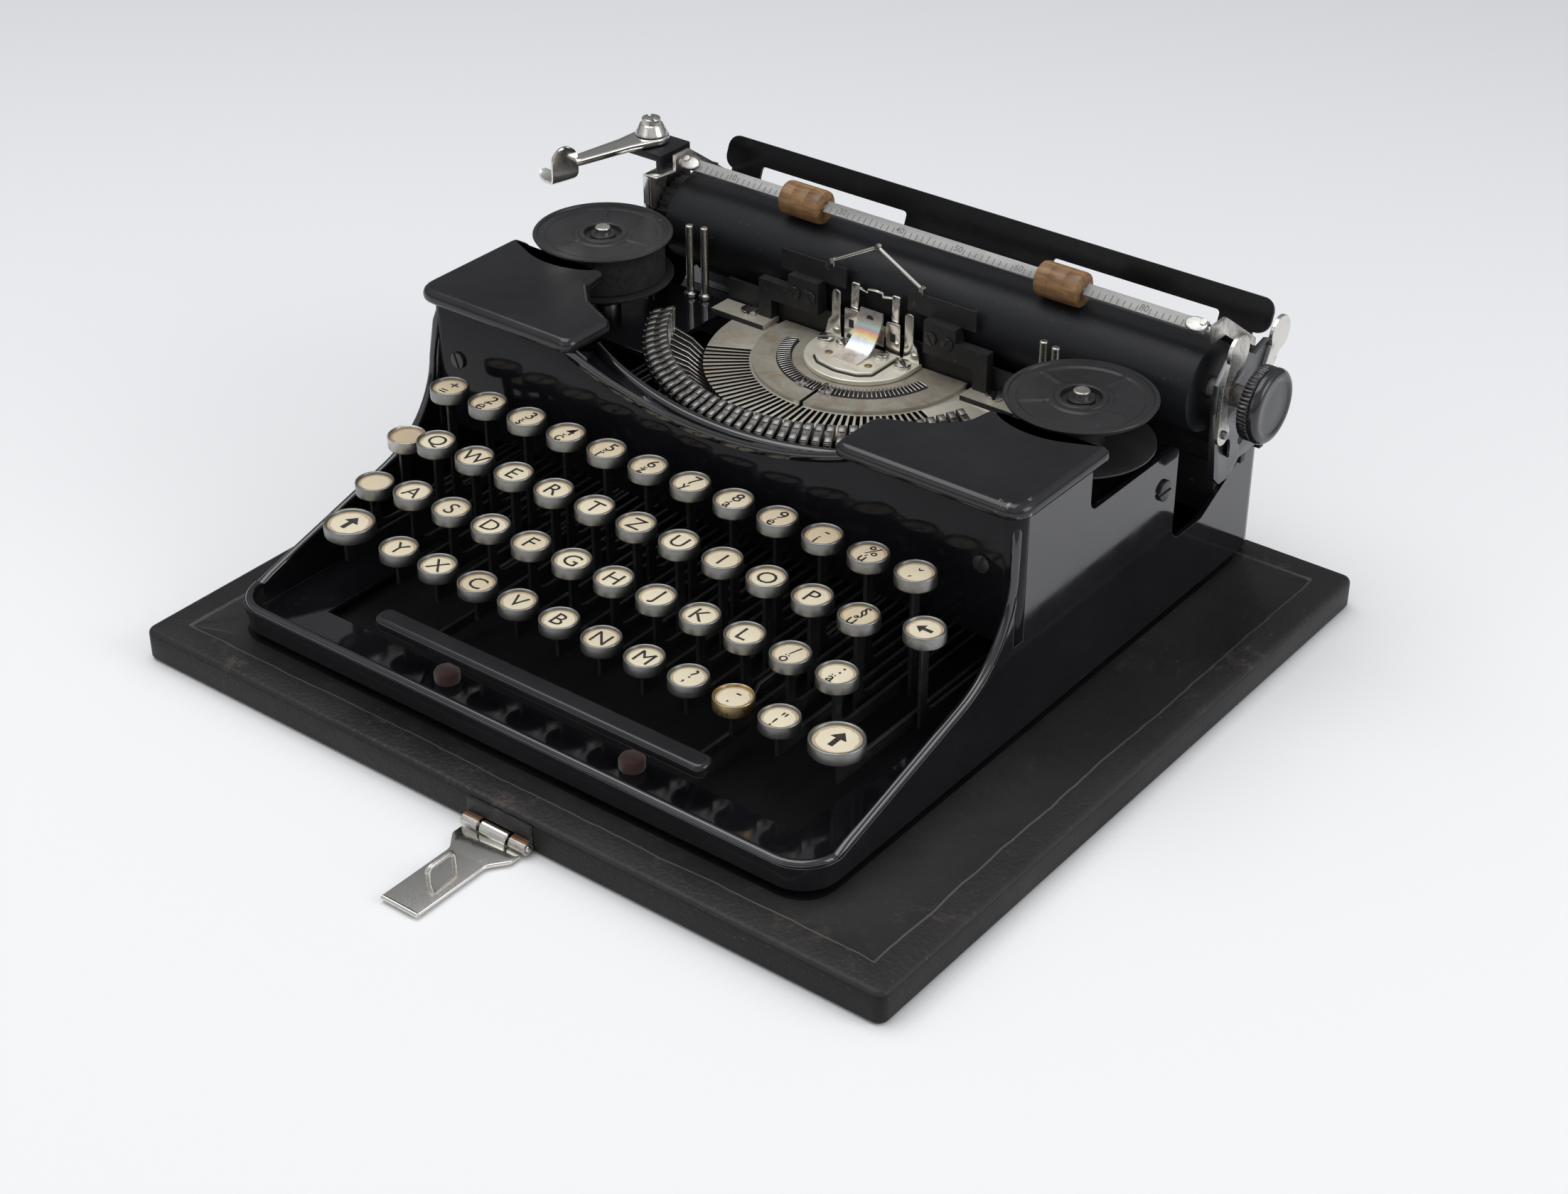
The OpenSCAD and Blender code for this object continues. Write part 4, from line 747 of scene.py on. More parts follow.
def dress(node, look, edge=None, width=0.3, segments=2, pick=None):
    """Places a rounded copy of a CAD solid in its stead"""
    place(node + "_finished", rounded_copy(node, look, edge, width, segments, pick), body_of(node), (node,))


def blank_tree(name, inputs, output, kinds):
    """A Geometry Nodes tree with its sockets and named nodes, among them the ones that end it"""
    tree = bpy.data.node_groups.new(name, 'GeometryNodeTree')
    for label, kind in inputs:
        tree.interface.new_socket(label, in_out='INPUT', socket_type='NodeSocket' + kind)
    tree.interface.new_socket(output, in_out='OUTPUT', socket_type='NodeSocketGeometry')
    ends = {"start": 'NodeGroupInput', "end": 'NodeGroupOutput', "real": 'GeometryNodeRealizeInstances',
            "dye": 'GeometryNodeSetMaterial'}
    return tree, {key: tree.nodes.new(kind) for key, kind in {**ends, **kinds}.items()}


def join_tree(tree, nodes, output, links):
    """Makes the links of a tree, then realizes, dyes and hands out what they give"""
    ends = (("real", "Geometry", "dye", "Geometry"), ("start", "Finish", "dye", "Material"),
            ("dye", "Geometry", "end", output))
    for giver, out, taker, into in (*links, *ends):
        tree.links.new(nodes[giver].outputs[out], nodes[taker].inputs[into])
    return tree


def copies_tree():
    """Geometry Nodes: copies of one mesh on points that carry their size, turn and age"""
    name, output = "Copies on points", "Pieces"
    if name in bpy.data.node_groups:
        return bpy.data.node_groups[name]
    inputs = (("Points", 'Geometry'), ("Copied piece", 'Object'), ("Finish", 'Material'))
    tree, nodes = blank_tree(name, inputs, output, {
        "info": 'GeometryNodeObjectInfo', "spread": 'GeometryNodeInstanceOnPoints',
        "size": 'GeometryNodeInputNamedAttribute', "turn": 'GeometryNodeInputNamedAttribute',
        "rotation": 'FunctionNodeEulerToRotation'})
    nodes["info"].inputs["As Instance"].default_value = True
    for key in ("size", "turn"):
        nodes[key].data_type = 'FLOAT_VECTOR'
        nodes[key].inputs["Name"].default_value = key
    return join_tree(tree, nodes, output, (
        ("start", "Points", "spread", "Points"), ("start", "Copied piece", "info", "Object"),
        ("info", "Geometry", "spread", "Instance"), ("size", "Attribute", "spread", "Scale"),
        ("turn", "Attribute", "rotation", "Euler"), ("rotation", "Rotation", "spread", "Rotation"),
        ("spread", "Instances", "real", "Geometry")))


def bead_tree():
    """Geometry Nodes: a round bead along a path"""
    name, output = "Bead along a path", "Bead"
    if name in bpy.data.node_groups:
        return bpy.data.node_groups[name]
    inputs = (("Path", 'Geometry'), ("Radius", 'Float'), ("Finish", 'Material'))
    tree, nodes = blank_tree(name, inputs, output, {
        "line": 'GeometryNodeMeshToCurve', "ring": 'GeometryNodeCurvePrimitiveCircle',
        "skin": 'GeometryNodeCurveToMesh'})
    nodes["ring"].inputs["Resolution"].default_value = 14
    nodes["skin"].inputs["Fill Caps"].default_value = True
    return join_tree(tree, nodes, output, (
        ("start", "Path", "line", "Mesh"), ("start", "Radius", "ring", "Radius"),
        ("line", "Curve", "skin", "Curve"), ("ring", "Curve", "skin", "Profile Curve"),
        ("skin", "Mesh", "real", "Geometry")))


def run_tree(host, tree, values):
    """Runs a Geometry Nodes tree on a helper object and gives its plain mesh"""
    nodes = host.modifiers.new("Nodes", 'NODES')
    nodes.node_group = tree
    for item in tree.interface.items_tree:
        if item.in_out == 'INPUT' and item.name in values:
            nodes[item.identifier] = values[item.name]
    return evaluated(host)


def copies(spots, template, look, sharp=SHARP, keep=False):
    """One mesh of template copies; each spot is (place, size, turn, age) in millimetres and radians"""
    points = bpy.data.meshes.new("spots")
    points.from_pydata([Vector(s[0]) * MM for s in spots], [], [])
    for name, kind, field, k in (("size", 'FLOAT_VECTOR', "vector", 1), ("turn", 'FLOAT_VECTOR', "vector", 2),
                                 ("age", 'FLOAT', "value", 3)):
        layer = points.attributes.new(name, kind, 'POINT')
        flat = []
        for s in spots:
            flat += [s[k]] if kind == 'FLOAT' else list(s[k])
        layer.data.foreach_set(field, flat)
    host = bpy.data.objects.new("spots", points)
    model = bpy.data.objects.new("copied_piece", template)
    for made in (host, model):
        bpy.context.scene.collection.objects.link(made)
    mesh = run_tree(host, copies_tree(), {"Copied piece": model, "Finish": finish(look)})
    bpy.data.objects.remove(model)
    if not keep:
        bpy.data.meshes.remove(template)
    smooth(mesh, sharp)
    return mesh


def bead(path, radius, look):
    """A round bead mesh along a path in millimetres"""
    line = bpy.data.meshes.new("path")
    line.from_pydata([Vector(p) * MM for p in path], [(i, i + 1) for i in range(len(path) - 1)], [])
    host = bpy.data.objects.new("path", line)
    bpy.context.scene.collection.objects.link(host)
    mesh = run_tree(host, bead_tree(), {"Radius": radius * MM, "Finish": finish(look)})
    smooth(mesh, 60.0)
    return mesh


def lettering(text, height, thin=0.0):
    """Flat printed marks, centred on the origin in the XY plane"""
    words = bpy.data.curves.new("legend", 'FONT')
    words.body = text
    words.size = height * MM
    words.resolution_u = 3
    words.extrude = 0.012 * MM
    words.offset = -thin * MM
    host = bpy.data.objects.new("legend", words)
    bpy.context.scene.collection.objects.link(host)
    mesh = evaluated(host)
    mesh.materials.clear()
    mesh.materials.append(finish("ink"))
    if mesh.vertices:
        low = [min(v.co[i] for v in mesh.vertices) for i in range(2)]
        high = [max(v.co[i] for v in mesh.vertices) for i in range(2)]
        mesh.transform(Matrix.Translation((-(low[0] + high[0]) / 2, -(low[1] + high[1]) / 2, 0)))
    return mesh


def slotted_head():
    """A cheese-head screw one metre wide, to be scaled: two rounded halves over a slot floor, facing +Z"""
    s = Shape()
    size = 1.0 / MM
    r, slot = size / 2, size * 0.075
    edge = math.degrees(math.acos(slot / r))
    for turn in (0, 180):
        half = [Matrix.Rotation(math.radians(turn), 2) @ Vector(p) for p in arc(0, 0, r, -edge, edge, 12)]
        s.plate([tuple(p) for p in half], 0.0, size * 0.26, 'Z', "nickel", size * 0.07, 2)
    s.lathe([(0, -0.02 * size), (r * 0.98, -0.02 * size), (r * 0.98, 0.12 * size), (0, 0.12 * size)],
            (0, 0, 0), 'Z', "nickel", 24)
    return s.mesh("slotted_head")


def screw_head(spot, width, height, turn, look):
    """One slotted head at a place in millimetres"""
    return copies([(spot, (width * MM, width * MM, height * MM), turn, 0.0)], slotted_head(), look)


# Operators, one for each group of like pieces

class PieceMaker:
    """Runs make() and reports an empty result as an error"""
    bl_options = {'REGISTER', 'UNDO'}

    def execute(self, context):
        before = len(bpy.data.objects)
        self.make()
        if len(bpy.data.objects) <= before:
            raise RuntimeError(self.bl_label + " made nothing")
        return {'FINISHED'}


class TYPEWRITER_OT_stage(PieceMaker, bpy.types.Operator):
    """Pale floor, soft studio light and the camera"""
    bl_idname = "typewriter.stage"
    bl_label = "Studio stage"

    def make(self):
        scene = bpy.context.scene
        scene.view_settings.view_transform = 'Standard'
        half, level = sizes().floor / 2, -0.4 * MM
        mesh = bpy.data.meshes.new("floor")
        mesh.from_pydata([(x, y, level) for x, y in rectangle(-half, half, -half, half)], [], [(0, 1, 2, 3)])
        f = Finish("studio_floor", roughness=0.8, Specular_IOR_Level=0.1)
        # The floor's colour darkens towards the back and the left, away from the camera: painted shade for
        # the light's falloff.
        across = f.sum('ADD', f.sum('MULTIPLY', f.axis("X"), -0.30), f.sum('MULTIPLY', f.axis("Y"), 0.42))
        f.shade(Base_Color=f.ramp(f.sum('ADD', across, 0.35), (0.0, (0.95, 0.95, 0.95)),
                                  (0.35, (0.93, 0.932, 0.94)), (1.0, (0.62, 0.63, 0.66))))
        mesh.materials.append(f.material)
        floor = bpy.data.objects.new("studio_floor", mesh)
        scene.collection.objects.link(floor)

        world = bpy.data.worlds.new("studio_light")
        world.use_nodes = True
        nodes, links = world.node_tree.nodes, world.node_tree.links
        sky, way = nodes["Background"], nodes.new("ShaderNodeTexCoord")
        strength = nodes.new("ShaderNodeMath")
        strength.operation = 'MULTIPLY'
        for k, (way_to, low, high, near, far) in enumerate((
                ((-0.61, 0.79, 0.0), 0.15, 0.80, 0.62, 0.26), ((0.0, 0.0, 1.0), 0.0, 0.40, 0.35, 1.0))):
            part, glow = nodes.new("ShaderNodeVectorMath"), nodes.new("ShaderNodeMapRange")
            part.operation = 'DOT_PRODUCT'
            part.inputs[1].default_value = way_to
            for socket, value in (("From Min", low), ("From Max", high), ("To Min", near), ("To Max", far)):
                glow.inputs[socket].default_value = value
            links.new(way.outputs["Generated"], part.inputs[0])
            links.new(part.outputs["Value"], glow.inputs["Value"])
            links.new(glow.outputs["Result"], strength.inputs[k])
        links.new(strength.outputs["Value"], sky.inputs["Strength"])
        sky.inputs["Color"].default_value = (0.95, 0.97, 1.0, 1.0)
        scene.world = world
        for name, spot, aim, size, power in (
                ("overhead_softbox", (-0.35, -0.15, 1.55), (0.0, 0.0, 0.05), 1.3, 12.0),
                ("side_softbox", (1.5, 0.35, 0.75), (0.0, 0.0, 0.06), 0.9, 7.0),
                ("front_softbox", (-0.5, -1.6, 0.8), (0.0, -0.05, 0.05), 0.9, 1.2)):
            lamp = bpy.data.lights.new(name, 'AREA')
            lamp.shape = 'SQUARE'
            lamp.size = size
            lamp.energy = power
            holder = bpy.data.objects.new(name, lamp)
            holder.location = spot
            holder.rotation_euler = (Vector(aim) - Vector(spot)).to_track_quat('-Z', 'Y').to_euler()
            scene.collection.objects.link(holder)

        eye = bpy.data.cameras.new("photo_camera")
        eye.sensor_fit = 'HORIZONTAL'
        eye.sensor_width = 36.0
        eye.lens = 62.04
        camera = bpy.data.objects.new("photo_camera", eye)
        camera.location = (0.5237, -0.6516, 0.5442)
        camera.rotation_euler = (math.radians(57.48), 0.0, math.radians(37.71))
        scene.collection.objects.link(camera)
        scene.camera = camera


class TYPEWRITER_OT_board(PieceMaker, bpy.types.Operator):
    """Leathercloth base board, rubber feet and the hasp"""
    bl_idname = "typewriter.board"
    bl_label = "Board and hasp"

    def make(self):
        rng = random.Random(4)
        ragged, drift = [], 0.0
        for k in range(len(rounded_loop(-1, 1, -1, 1, 0.5))):
            drift = drift * 0.82 + rng.uniform(-0.3, 0.3)
            ragged.append(drift * min(1.0, k / 12))
        s = Shape()

        def loop(depth, radius):
            return rounded_loop(BOARD_X0 + depth, BOARD_X1 - depth, depth - BOARD_Y, BOARD_Y - depth, radius)

        def ring(depth, z, rag=0.0):
            radius = max(0.6, 4.0 - depth)
            spots = zip(loop(depth, radius), loop(depth + 1.0, radius), ragged)
            return [(x + (u - x) * rag * w, y + (v - y) * rag * w, z) for (x, y), (u, v), w in spots]
        rings = [ring(1.6, 0.0), ring(0.5, 0.35), ring(0.0, 1.4), ring(0.0, 10.2)]
        rings += [ring(2.3 * (1 - math.cos(a)), 10.2 + 2.3 * math.sin(a))
                  for a in (0.4, 0.8, 1.2, math.pi / 2)]
        rings += [ring(7.0, 12.56, 0.3), ring(11.2, 12.5, 1.0), ring(11.9, 12.35, 1.0), ring(12.3, 12.0, 1.0)]
        rings.append([(x, y, BOARD_TOP) for x, y in rounded_loop(-130.5, 130.5, -129.5, 141.5, 13.0)])
        # The underside, the sides and the start of the top's rounding take the darker cloth, painted shade
        looks = ["cloth_painted_shade"] * 4 + ["cloth"] * (len(rings) - 8) + ["seam"] * 2 + ["cloth_sheet"]
        s.loft(rings, "cloth", looks=looks)
        s.bm.faces.ensure_lookup_table()
        # The board's top inside the body's footprint, seen only through the keyboard well, is painted near
        # black as shade
        s.bm.faces[-1].material_index = s.index("unlit_black")
        s.stand_for("base_board", "board_covered", 50.0)

        feet = Shape()
        for x in (-116.5, 116.5):
            for y in (-113.0, 130.0):
                feet.lathe([(0, 0), (7.2, 0), (8.0, 0.7), (7.6, 2.6), (7.2, 3.0), (0, 3.0)],
                           (x, y, BOARD_TOP), 'Z', "foot_rubber", 40)
        feet.stand_for("rubber_feet", "feet_turned")

        def leaf_part(c, n):
            if c.z > 6.2:
                return 0
            return 1 if c.z > 5.2 or c.y > -150.2 else None
        dress("hasp_leaf", "nickel_worn", width=0.35, pick=(("cloth", "rust"), leaf_part))
        dress("hasp_pin", "nickel", width=0.5, segments=3)
        strap = Shape()
        outline = filleted([(5.0, -154.2, 0.6), (5.0, -159.0, 3.0), (10.0, -165.5, 5.0), (10.0, -196.6, 0.8),
                            (26.0, -196.6, 0.8), (26.0, -165.5, 5.0), (31.0, -159.0, 3.0),
                            (31.0, -154.2, 0.6)])
        strap.plate(outline, 0.5, 2.0, 'Z', "nickel", 0.5)
        strap.tube([(10.3, -196.6, 1.35), (18.0, -196.6, 1.35), (25.7, -196.6, 1.35)], 0.9, "nickel")
        wire = filleted([(-171.5, 1.0, 0), (-171.8, 8.0, 2.2), (-183.4, 8.0, 2.2), (-183.4, 1.0, 0)], 5)
        strap.tube([(18.0, y, z) for y, z in wire], 1.0, "nickel_worn", 14)
        strap.lathe([(1.7, -5.8), (2.3, -5.8), (2.6, -5.5), (2.6, 5.5), (2.3, 5.8), (1.7, 5.8)],
                    (18.0, -151.5, 3.0), 'X', "nickel", 32, closed=True)
        strap.plate(soft_rectangle(12.4, 23.6, -155.0, -152.0, 0.3), 0.5, 1.6, 'Z', "nickel")
        strap.stand_for("hasp_strap", "hasp_strap_bent")


def rim_path():
    """Centre line of the rolled rim: down the left cheek, round the front and up the right one"""
    side = arc(-60.0, 81.93, 40.0, 0.0, -74.0, 14)
    side += [(-70.0, 37.4), (-95.0, 30.25), (-110.0, 25.95), (-115.0, 24.9)]
    right = [(127.6, -16.6, 97.0), (128.6, -18.2, 92.0), (129.0, -18.9, 87.0)]
    right += [(129.6, y, z) for y, z in side[1:]]
    corner = [(115.6 + 14 * math.cos(a), -114.2 - 14 * math.sin(a), 24.6) for a in
              [math.pi / 2 * k / 10 for k in range(11)]]
    half = right + corner
    return [(-x, y, z) for x, y, z in half] + [(x, y, z) for x, y, z in reversed(half)]


class TYPEWRITER_OT_body(PieceMaker, bpy.types.Operator):
    """Enamelled body with its rolled rim, front panel, covers and screws"""
    bl_idname = "typewriter.body"
    bl_label = "Body and covers"

    def make(self):
        def well_part(c, n):
            inside = n.y > 0.5 and c.y < -100.0 or n.x * c.x < -0.5 * abs(c.x) and c.y < -15.0
            return 0 if inside and abs(c.x) < 129.8 and c.z < 100.0 else None
        dress("body_shell", "enamel", "enamel_edge", 0.5, pick=(("dull_black",), well_part))
        rim, radius = Shape(), sizes().bead / MM
        rim.add(bead(rim_path(), radius, "enamel"))
        for side in (1, -1):
            seam = [(127.0, -15.4, 96.5), (127.7, -16.8, 92.0), (128.1, -17.6, 87.0), (128.5, -18.5, 82.0),
                    (128.5, -19.3, 75.0), (128.5, -19.9, 70.0), (128.5, -19.6, 64.0), (128.5, -19.2, 50.0)]
            rim.add(bead([(x * side, y, z) for x, y, z in seam], radius, "enamel"))
        place("rim_bead", rim.mesh("rim_bead", 60.0), "base", slot="body_shell")
        self.panel()
        for side in (1, -1):
            self.cover(side)
        self.screws()

    def panel(self):
        """Front panel with a rolled lip along its dip"""
        s = Shape()
        sheet = rounded_copy("front_panel", "panel_enamel", "enamel_edge", 0.4)
        for v in sheet.vertices:
            x, z = v.co.x / MM, v.co.z / MM
            if abs(x) < 66.0 and z > self.dip(x) - 1.2:
                v.co.z -= 1.6 * MM
        s.add(sheet)
        rings = []
        for k in range(65):
            x = -63.0 + 126.0 * k / 64
            low, back = self.dip(x), -16.0 + 0.0030 * (x - PRINT_X) ** 2
            high = 90.6 + 0.0012 * (x - PRINT_X) ** 2
            front = [(-20.9, low - 3.4), (-21.2, low - 1.3), (-21.0, low - 0.2), (-20.4, low + 0.35),
                     (-19.6, low + 0.2), (-19.0, low - 0.5)]
            middle = [(-19.0 + (back + 16.6) * t,
                       (low - 0.6) * (1 - t) + (high - 1.2) * t - 1.1 * math.sin(math.pi * t))
                      for t in (0.25, 0.5, 0.75)]
            roll = [(back + 2.3 * math.cos(a), high - 0.8 + 2.3 * math.sin(a)) for a in
                    [math.radians(190 - 26 * j) for j in range(11)]]
            rings.append([(x, y, z) for y, z in front + middle + roll + [(-18.2, low - 4.0)]])
        s.loft(rings, "enamel")
        s.stand_for("front_panel", "front_panel_rolled")

    @staticmethod
    def dip(x):
        """Height of the panel's curved upper edge"""
        low, radius = 90.8, 169.0
        return low + radius - math.sqrt(radius ** 2 - x * x)

    def cover(self, side):
        """One pressed cover, cut round its spool, with rolled edges"""
        name = "right_cover" if side > 0 else "left_cover"
        edge = arc(SPOOL_X, SPOOL_Y, 28.3, -55.0, -126.0, 24)
        plan = filleted([(58.0, -24.0, 5), (133.5, -24.0, 9), (133.5, 31.0, 6.0),
                         (edge[0][0] + 2.0, 31.0, 5.0), (*edge[4], 0)] + [(*p, 0) for p in edge[5:-3]] +
                        [(*edge[-3], 0), (91.0, 30.2, 3.0), (86.4, 29.0, 3.0), (84.4, 17.5, 6.0),
                         (75.0, 8.0, 14.0), (58.0, 0.0, 6.0)])
        plan = spaced([(x * side, y) for x, y in plan], 1.4)
        if side < 0:
            plan.reverse()
        top, depth, under, r, steps = 107.0, 5.5, 1.7, sizes().cover_round / MM, 7
        walls = thickness(plan)

        def outline(deep):
            return [tuple(p + inward * min(deep, room * 0.42)) for p, inward, room in walls]
        rings = []
        for k in range(5):
            turn = math.pi / 2 * k / 4
            rings.append([(x, y, top - depth + under * (1 - math.cos(turn)))
                          for x, y in outline(under * (1 - math.sin(turn)))])
        for k in range(steps + 1):
            turn = math.pi / 2 * k / steps
            rings.append([(x, y, top - r + r * math.sin(turn)) for x, y in outline(r * (1 - math.cos(turn)))])
        s = Shape()
        s.loft(rings, "satin", looks=["satin_edge"] * (len(rings) - 2) + ["satin"])
        for f in s.bm.faces:
            c = f.calc_center_median() / MM
            corner = side > 0 and math.hypot(c.x - 131.0, c.y + 21.0) < 8.0
            if corner and c.z > top - 4.6 and len(f.verts) == 4:
                f.material_index = s.index("chipped")
        s.stand_for(name, name + "_pressed", 50.0)

    def screws(self):
        """Bright screws of the basket and flat dark ones of the body"""
        bright, dark = [], []

        def add(spots, x, y, z, size, turn):
            flat = 0.55 if spots is dark else 1.0
            spots.append(((x, y, z), (size * MM, size * MM, size * flat * MM), turn, 0.0))
        for s in (-1, 1):
            add(dark, s * 117.0, -20.2, 80.0, 6.5, (math.pi / 2, 0.35 * s, 0.0))
            add(dark, s * 130.6, 73.0, 69.5, 8.0, (0.0, math.pi / 2 * s, 0.0))
            add(bright, PRINT_X + s * 56.0, 73.0, 82.4, 7.0, (0.0, 0.0, 0.5))
            add(bright, PRINT_X + s * 17.5, 70.0, 84.0, 6.5, (0.0, 0.0, 0.9 * s))
            add(bright, PRINT_X + s * 8.9, 69.0, 85.4, 5.4, (0.0, 0.0, 1.4 + 0.5 * s))
            for t in (-1, 1):
                add(dark, PRINT_X + s * (31.0 + t * 3.6), 73.3, 97.0, 5.0, (math.pi / 2, 0.6 * t, 0.0))
            add(bright, PRINT_X + s * 5.6, 39.6, 82.0, 5.0, (0.0, 0.0, 0.35))
        s = Shape()
        s.add(copies(bright, slotted_head(), "nickel"))
        s.add(copies(dark, slotted_head(), "lever_steel"))
        s.stand_for("screws", "screws_slotted")


KEY_MARKS = (
    (("+", "="), ("2", "ě"), ("3", "š"), ("4", "č"), ("5", "ř"), ("6", "ž"), ("7", "ý"),
     ("8", "á"), ("9", "é"), ("-", "í"), ("%", "ú"), ("ˇ", "´")),
    ("Q", "W", "E", "R", "T", "Z", "U", "I", "O", "P", ("§", "ů")),
    ("A", "S", "D", "F", "G", "H", "J", "K", "L", ("/", "ö"), (":", "ä")),
    ("Y", "X", "C", "V", "B", "N", "M", ("?", ","), ("-", "."), ("\"", "!")))


def key_ring():
    """Straight-sided ring of a common key, its top at zero height"""
    s = Shape()
    s.lathe([(6.2, -4.8), (7.0, -4.8), (7.2, -4.6), (7.25, -4.2), (7.25, -0.45), (7.15, -0.15), (6.92, 0.0),
             (6.6, -0.02), (6.4, -0.2), (6.3, -0.5), (6.22, -1.3), (5.6, -1.6), (5.6, -4.4)], (0, 0, 0), 'Z',
            "ring", 44, closed=True)
    return s.mesh("key_ring", 60.0)


def key_disc():
    """Slightly domed paper disc with its distance from the middle kept for the finish"""
    s, wide = Shape(), 6.2
    radii = (wide, 5.6, 5.0, 4.2, 3.0, 1.5, 0.0)
    s.lathe([(wide, -1.5)] + [(r, -0.85 - 0.22 * (r / wide) ** 2) for r in radii], (0, 0, 0), 'Z', "paper",
            40, caps=False)
    mesh = s.mesh("key_disc", 60.0)
    rim = mesh.attributes.new("rim", 'FLOAT', 'POINT')
    rim.data.foreach_set("value", [math.hypot(v.co.x, v.co.y) / (wide * MM) for v in mesh.vertices])
    return mesh


def rod_boss():
    """The eye of a lever round the pivot rod, in (Y, Z)"""
    return arc(ROD_Y, ROD_Z, 4.5, -146.0, 146.0, 14)


def lever_outline(y, top):
    """Side view of a key's lever with its stem, in (Y, Z)"""
    stem = top - 4.4
    rise = [(y + 6.0, 34.0), (y + 3.2, 34.8), (y + 2.0, 37.5), (y + 2.0, stem), (y - 2.0, stem)]
    return [(y - 2.0, 29.0)] + rod_boss() + rise


class TYPEWRITER_OT_keys(PieceMaker, bpy.types.Operator):
    """Ringed keys with their letters, levers, the space bar and its felts"""
    bl_idname = "typewriter.keys"
    bl_label = "Keys"

    def make(self):
        rng = random.Random(11)
        groups = {}

        def add(node, x, y, z, size, arm, marks, age, ring="ring"):
            groups.setdefault(node, []).append((x, y, z, size, arm, marks, age, ring))
        for row in range(4):
            for k in range(ROW_COUNT[row]):
                node = "key_h" if (row, k) == (2, 5) else "keys_%02d" % min(k + 1, 11)
                x = FIRST_KEY_X + (ROW_SHIFT[row] + k) * KEY_PITCH
                age = rng.choice((0.02, 0.05, 0.08, 0.12, 0.2))
                if (row, k) in ((0, 0), (0, 9), (1, 10), (3, 2)):
                    age = 0.40
                elif row == 0:
                    age += 0.10
                add(node, x, FIRST_ROW_Y - ROW_DEPTH * row, FIRST_ROW_Z - ROW_DROP * row, KEY_SIZE, x,
                    KEY_MARKS[row][k], age, "ring_brass" if (row, k) == (3, 8) else "ring")
        for s in (-1, 1):
            add("shift_keys", s * 109.3, -88.0, 45.5, SHIFT_SIZE, s * SHIFT_ARM_X, "up", 0.05)
        add("shift_lock_key", -113.8, -70.0, 52.4, KEY_SIZE, -114.9, None, 0.30)
        add("margin_key", -115.6, -50.6, 62.5, KEY_SIZE, -118.1, None, 0.62, "nickel_worn")
        add("backspace_key", 113.8, -47.2, 68.0, KEY_SIZE, 113.8, "left", 0.06)
        ring, disc = key_ring(), key_disc()
        for node, keys in groups.items():
            self.group(node, keys, ring, disc)
        for mesh in (ring, disc):
            bpy.data.meshes.remove(mesh)
        self.space_bar()
        self.felts()

    def group(self, node, keys, ring, disc):
        """The rings, levers and marks of one body's keys, and their papers"""
        spots = {}
        for x, y, z, size, arm, marks, age, look in keys:
            wide = size / KEY_SIZE
            spots.setdefault(look, []).append(((x, y, z), (wide, wide, 1.0), (0.0, 0.0, 0.0), age))
        s = Shape()
        for look, here in spots.items():
            s.add(copies(here, ring, look, 60.0, keep=True))
        for x, y, z, size, arm, marks, age, look in keys:
            s.plate(lever_outline(y, z), arm - LEVER_HALF, arm + LEVER_HALF, 'X', "lever_steel", 0.25, 1)
            cup = 5.3 * size / KEY_SIZE
            s.lathe([(0, -7.4), (1.6, -7.4), (2.2, -6.6), (cup, -4.7), (cup, -4.2), (0, -4.2)], (x, y, z),
                    'Z', "lever_steel", 24)
            self.marks(s, marks, x, y, z)
        if node == "shift_keys":
            s.tube([(-111.0, 110.5, ROD_Z), (0.0, 110.5, ROD_Z), (111.0, 110.5, ROD_Z)], 2.0, "lever_steel")
            for side in (-1, 1):
                arm = side * SHIFT_ARM_X
                s.plate(rectangle(103.5, 111.0, 29.0, 34.0), arm - LEVER_HALF, arm + LEVER_HALF, 'X',
                        "lever_steel", 0.25, 1)
        s.stand_for(node, node + "_built", 40.0)
        every = [spot for here in spots.values() for spot in here]
        place(node + "_papers", copies(every, disc, "paper", 60.0, keep=True), body_of(node), slot=node)

    def marks(self, s, marks, x, y, z):
        """A letter, two small marks or an arrow printed just over the paper"""
        if marks is None:
            return
        z -= 0.825
        if marks in ("up", "left"):
            arrow = [(-1.0, -4.0), (1.0, -4.0), (1.0, 0.6), (3.2, 0.6), (0.0, 4.4), (-3.2, 0.6), (-1.0, 0.6)]
            if marks == "left":
                arrow = [(-0.75 * v, 0.75 * u) for u, v in arrow]
            s.plate([(x + u, y + v) for u, v in arrow], z, z + 0.03, 'Z', "ink", 0.01, 1)
        elif isinstance(marks, tuple):
            for text, height, dx, dy in ((marks[0], 7.4, 0.4, 2.2), (marks[1], 6.4, -0.3, -3.0)):
                s.add(lettering(text, height, thin=-0.02),
                      Matrix.Translation(Vector((x + dx, y + dy, z)) * MM))
        else:
            s.add(lettering(marks, sizes().letter / MM), Matrix.Translation(Vector((x, y, z)) * MM))

    def space_bar(self):
        s = Shape()
        outline = soft_rectangle(-72.0, 76.0, -116.0, -107.0, 4.4, 8)
        s.plate(spaced(outline, 3.0), 28.5, 34.0, 'Z', "satin", 1.9, 6, "satin_edge")
        for k in (2.625, 8.875):
            x = FIRST_KEY_X + k * KEY_PITCH
            dip = [(-113.5, 29.0), (-110.0, 29.0), (-105.0, 23.5), (-99.5, 18.5), (-74.0, 18.5),
                   (-64.0, 29.0)]
            rise = [(-66.0, 34.0), (-76.0, 22.8), (-98.0, 22.8), (-103.0, 27.8), (-109.5, 33.5)]
            s.plate(dip + rod_boss() + rise, x - LEVER_HALF, x + LEVER_HALF, 'X', "lever_steel", 0.2, 1)
        s.stand_for("space_bar", "space_bar_moulded", 40.0)

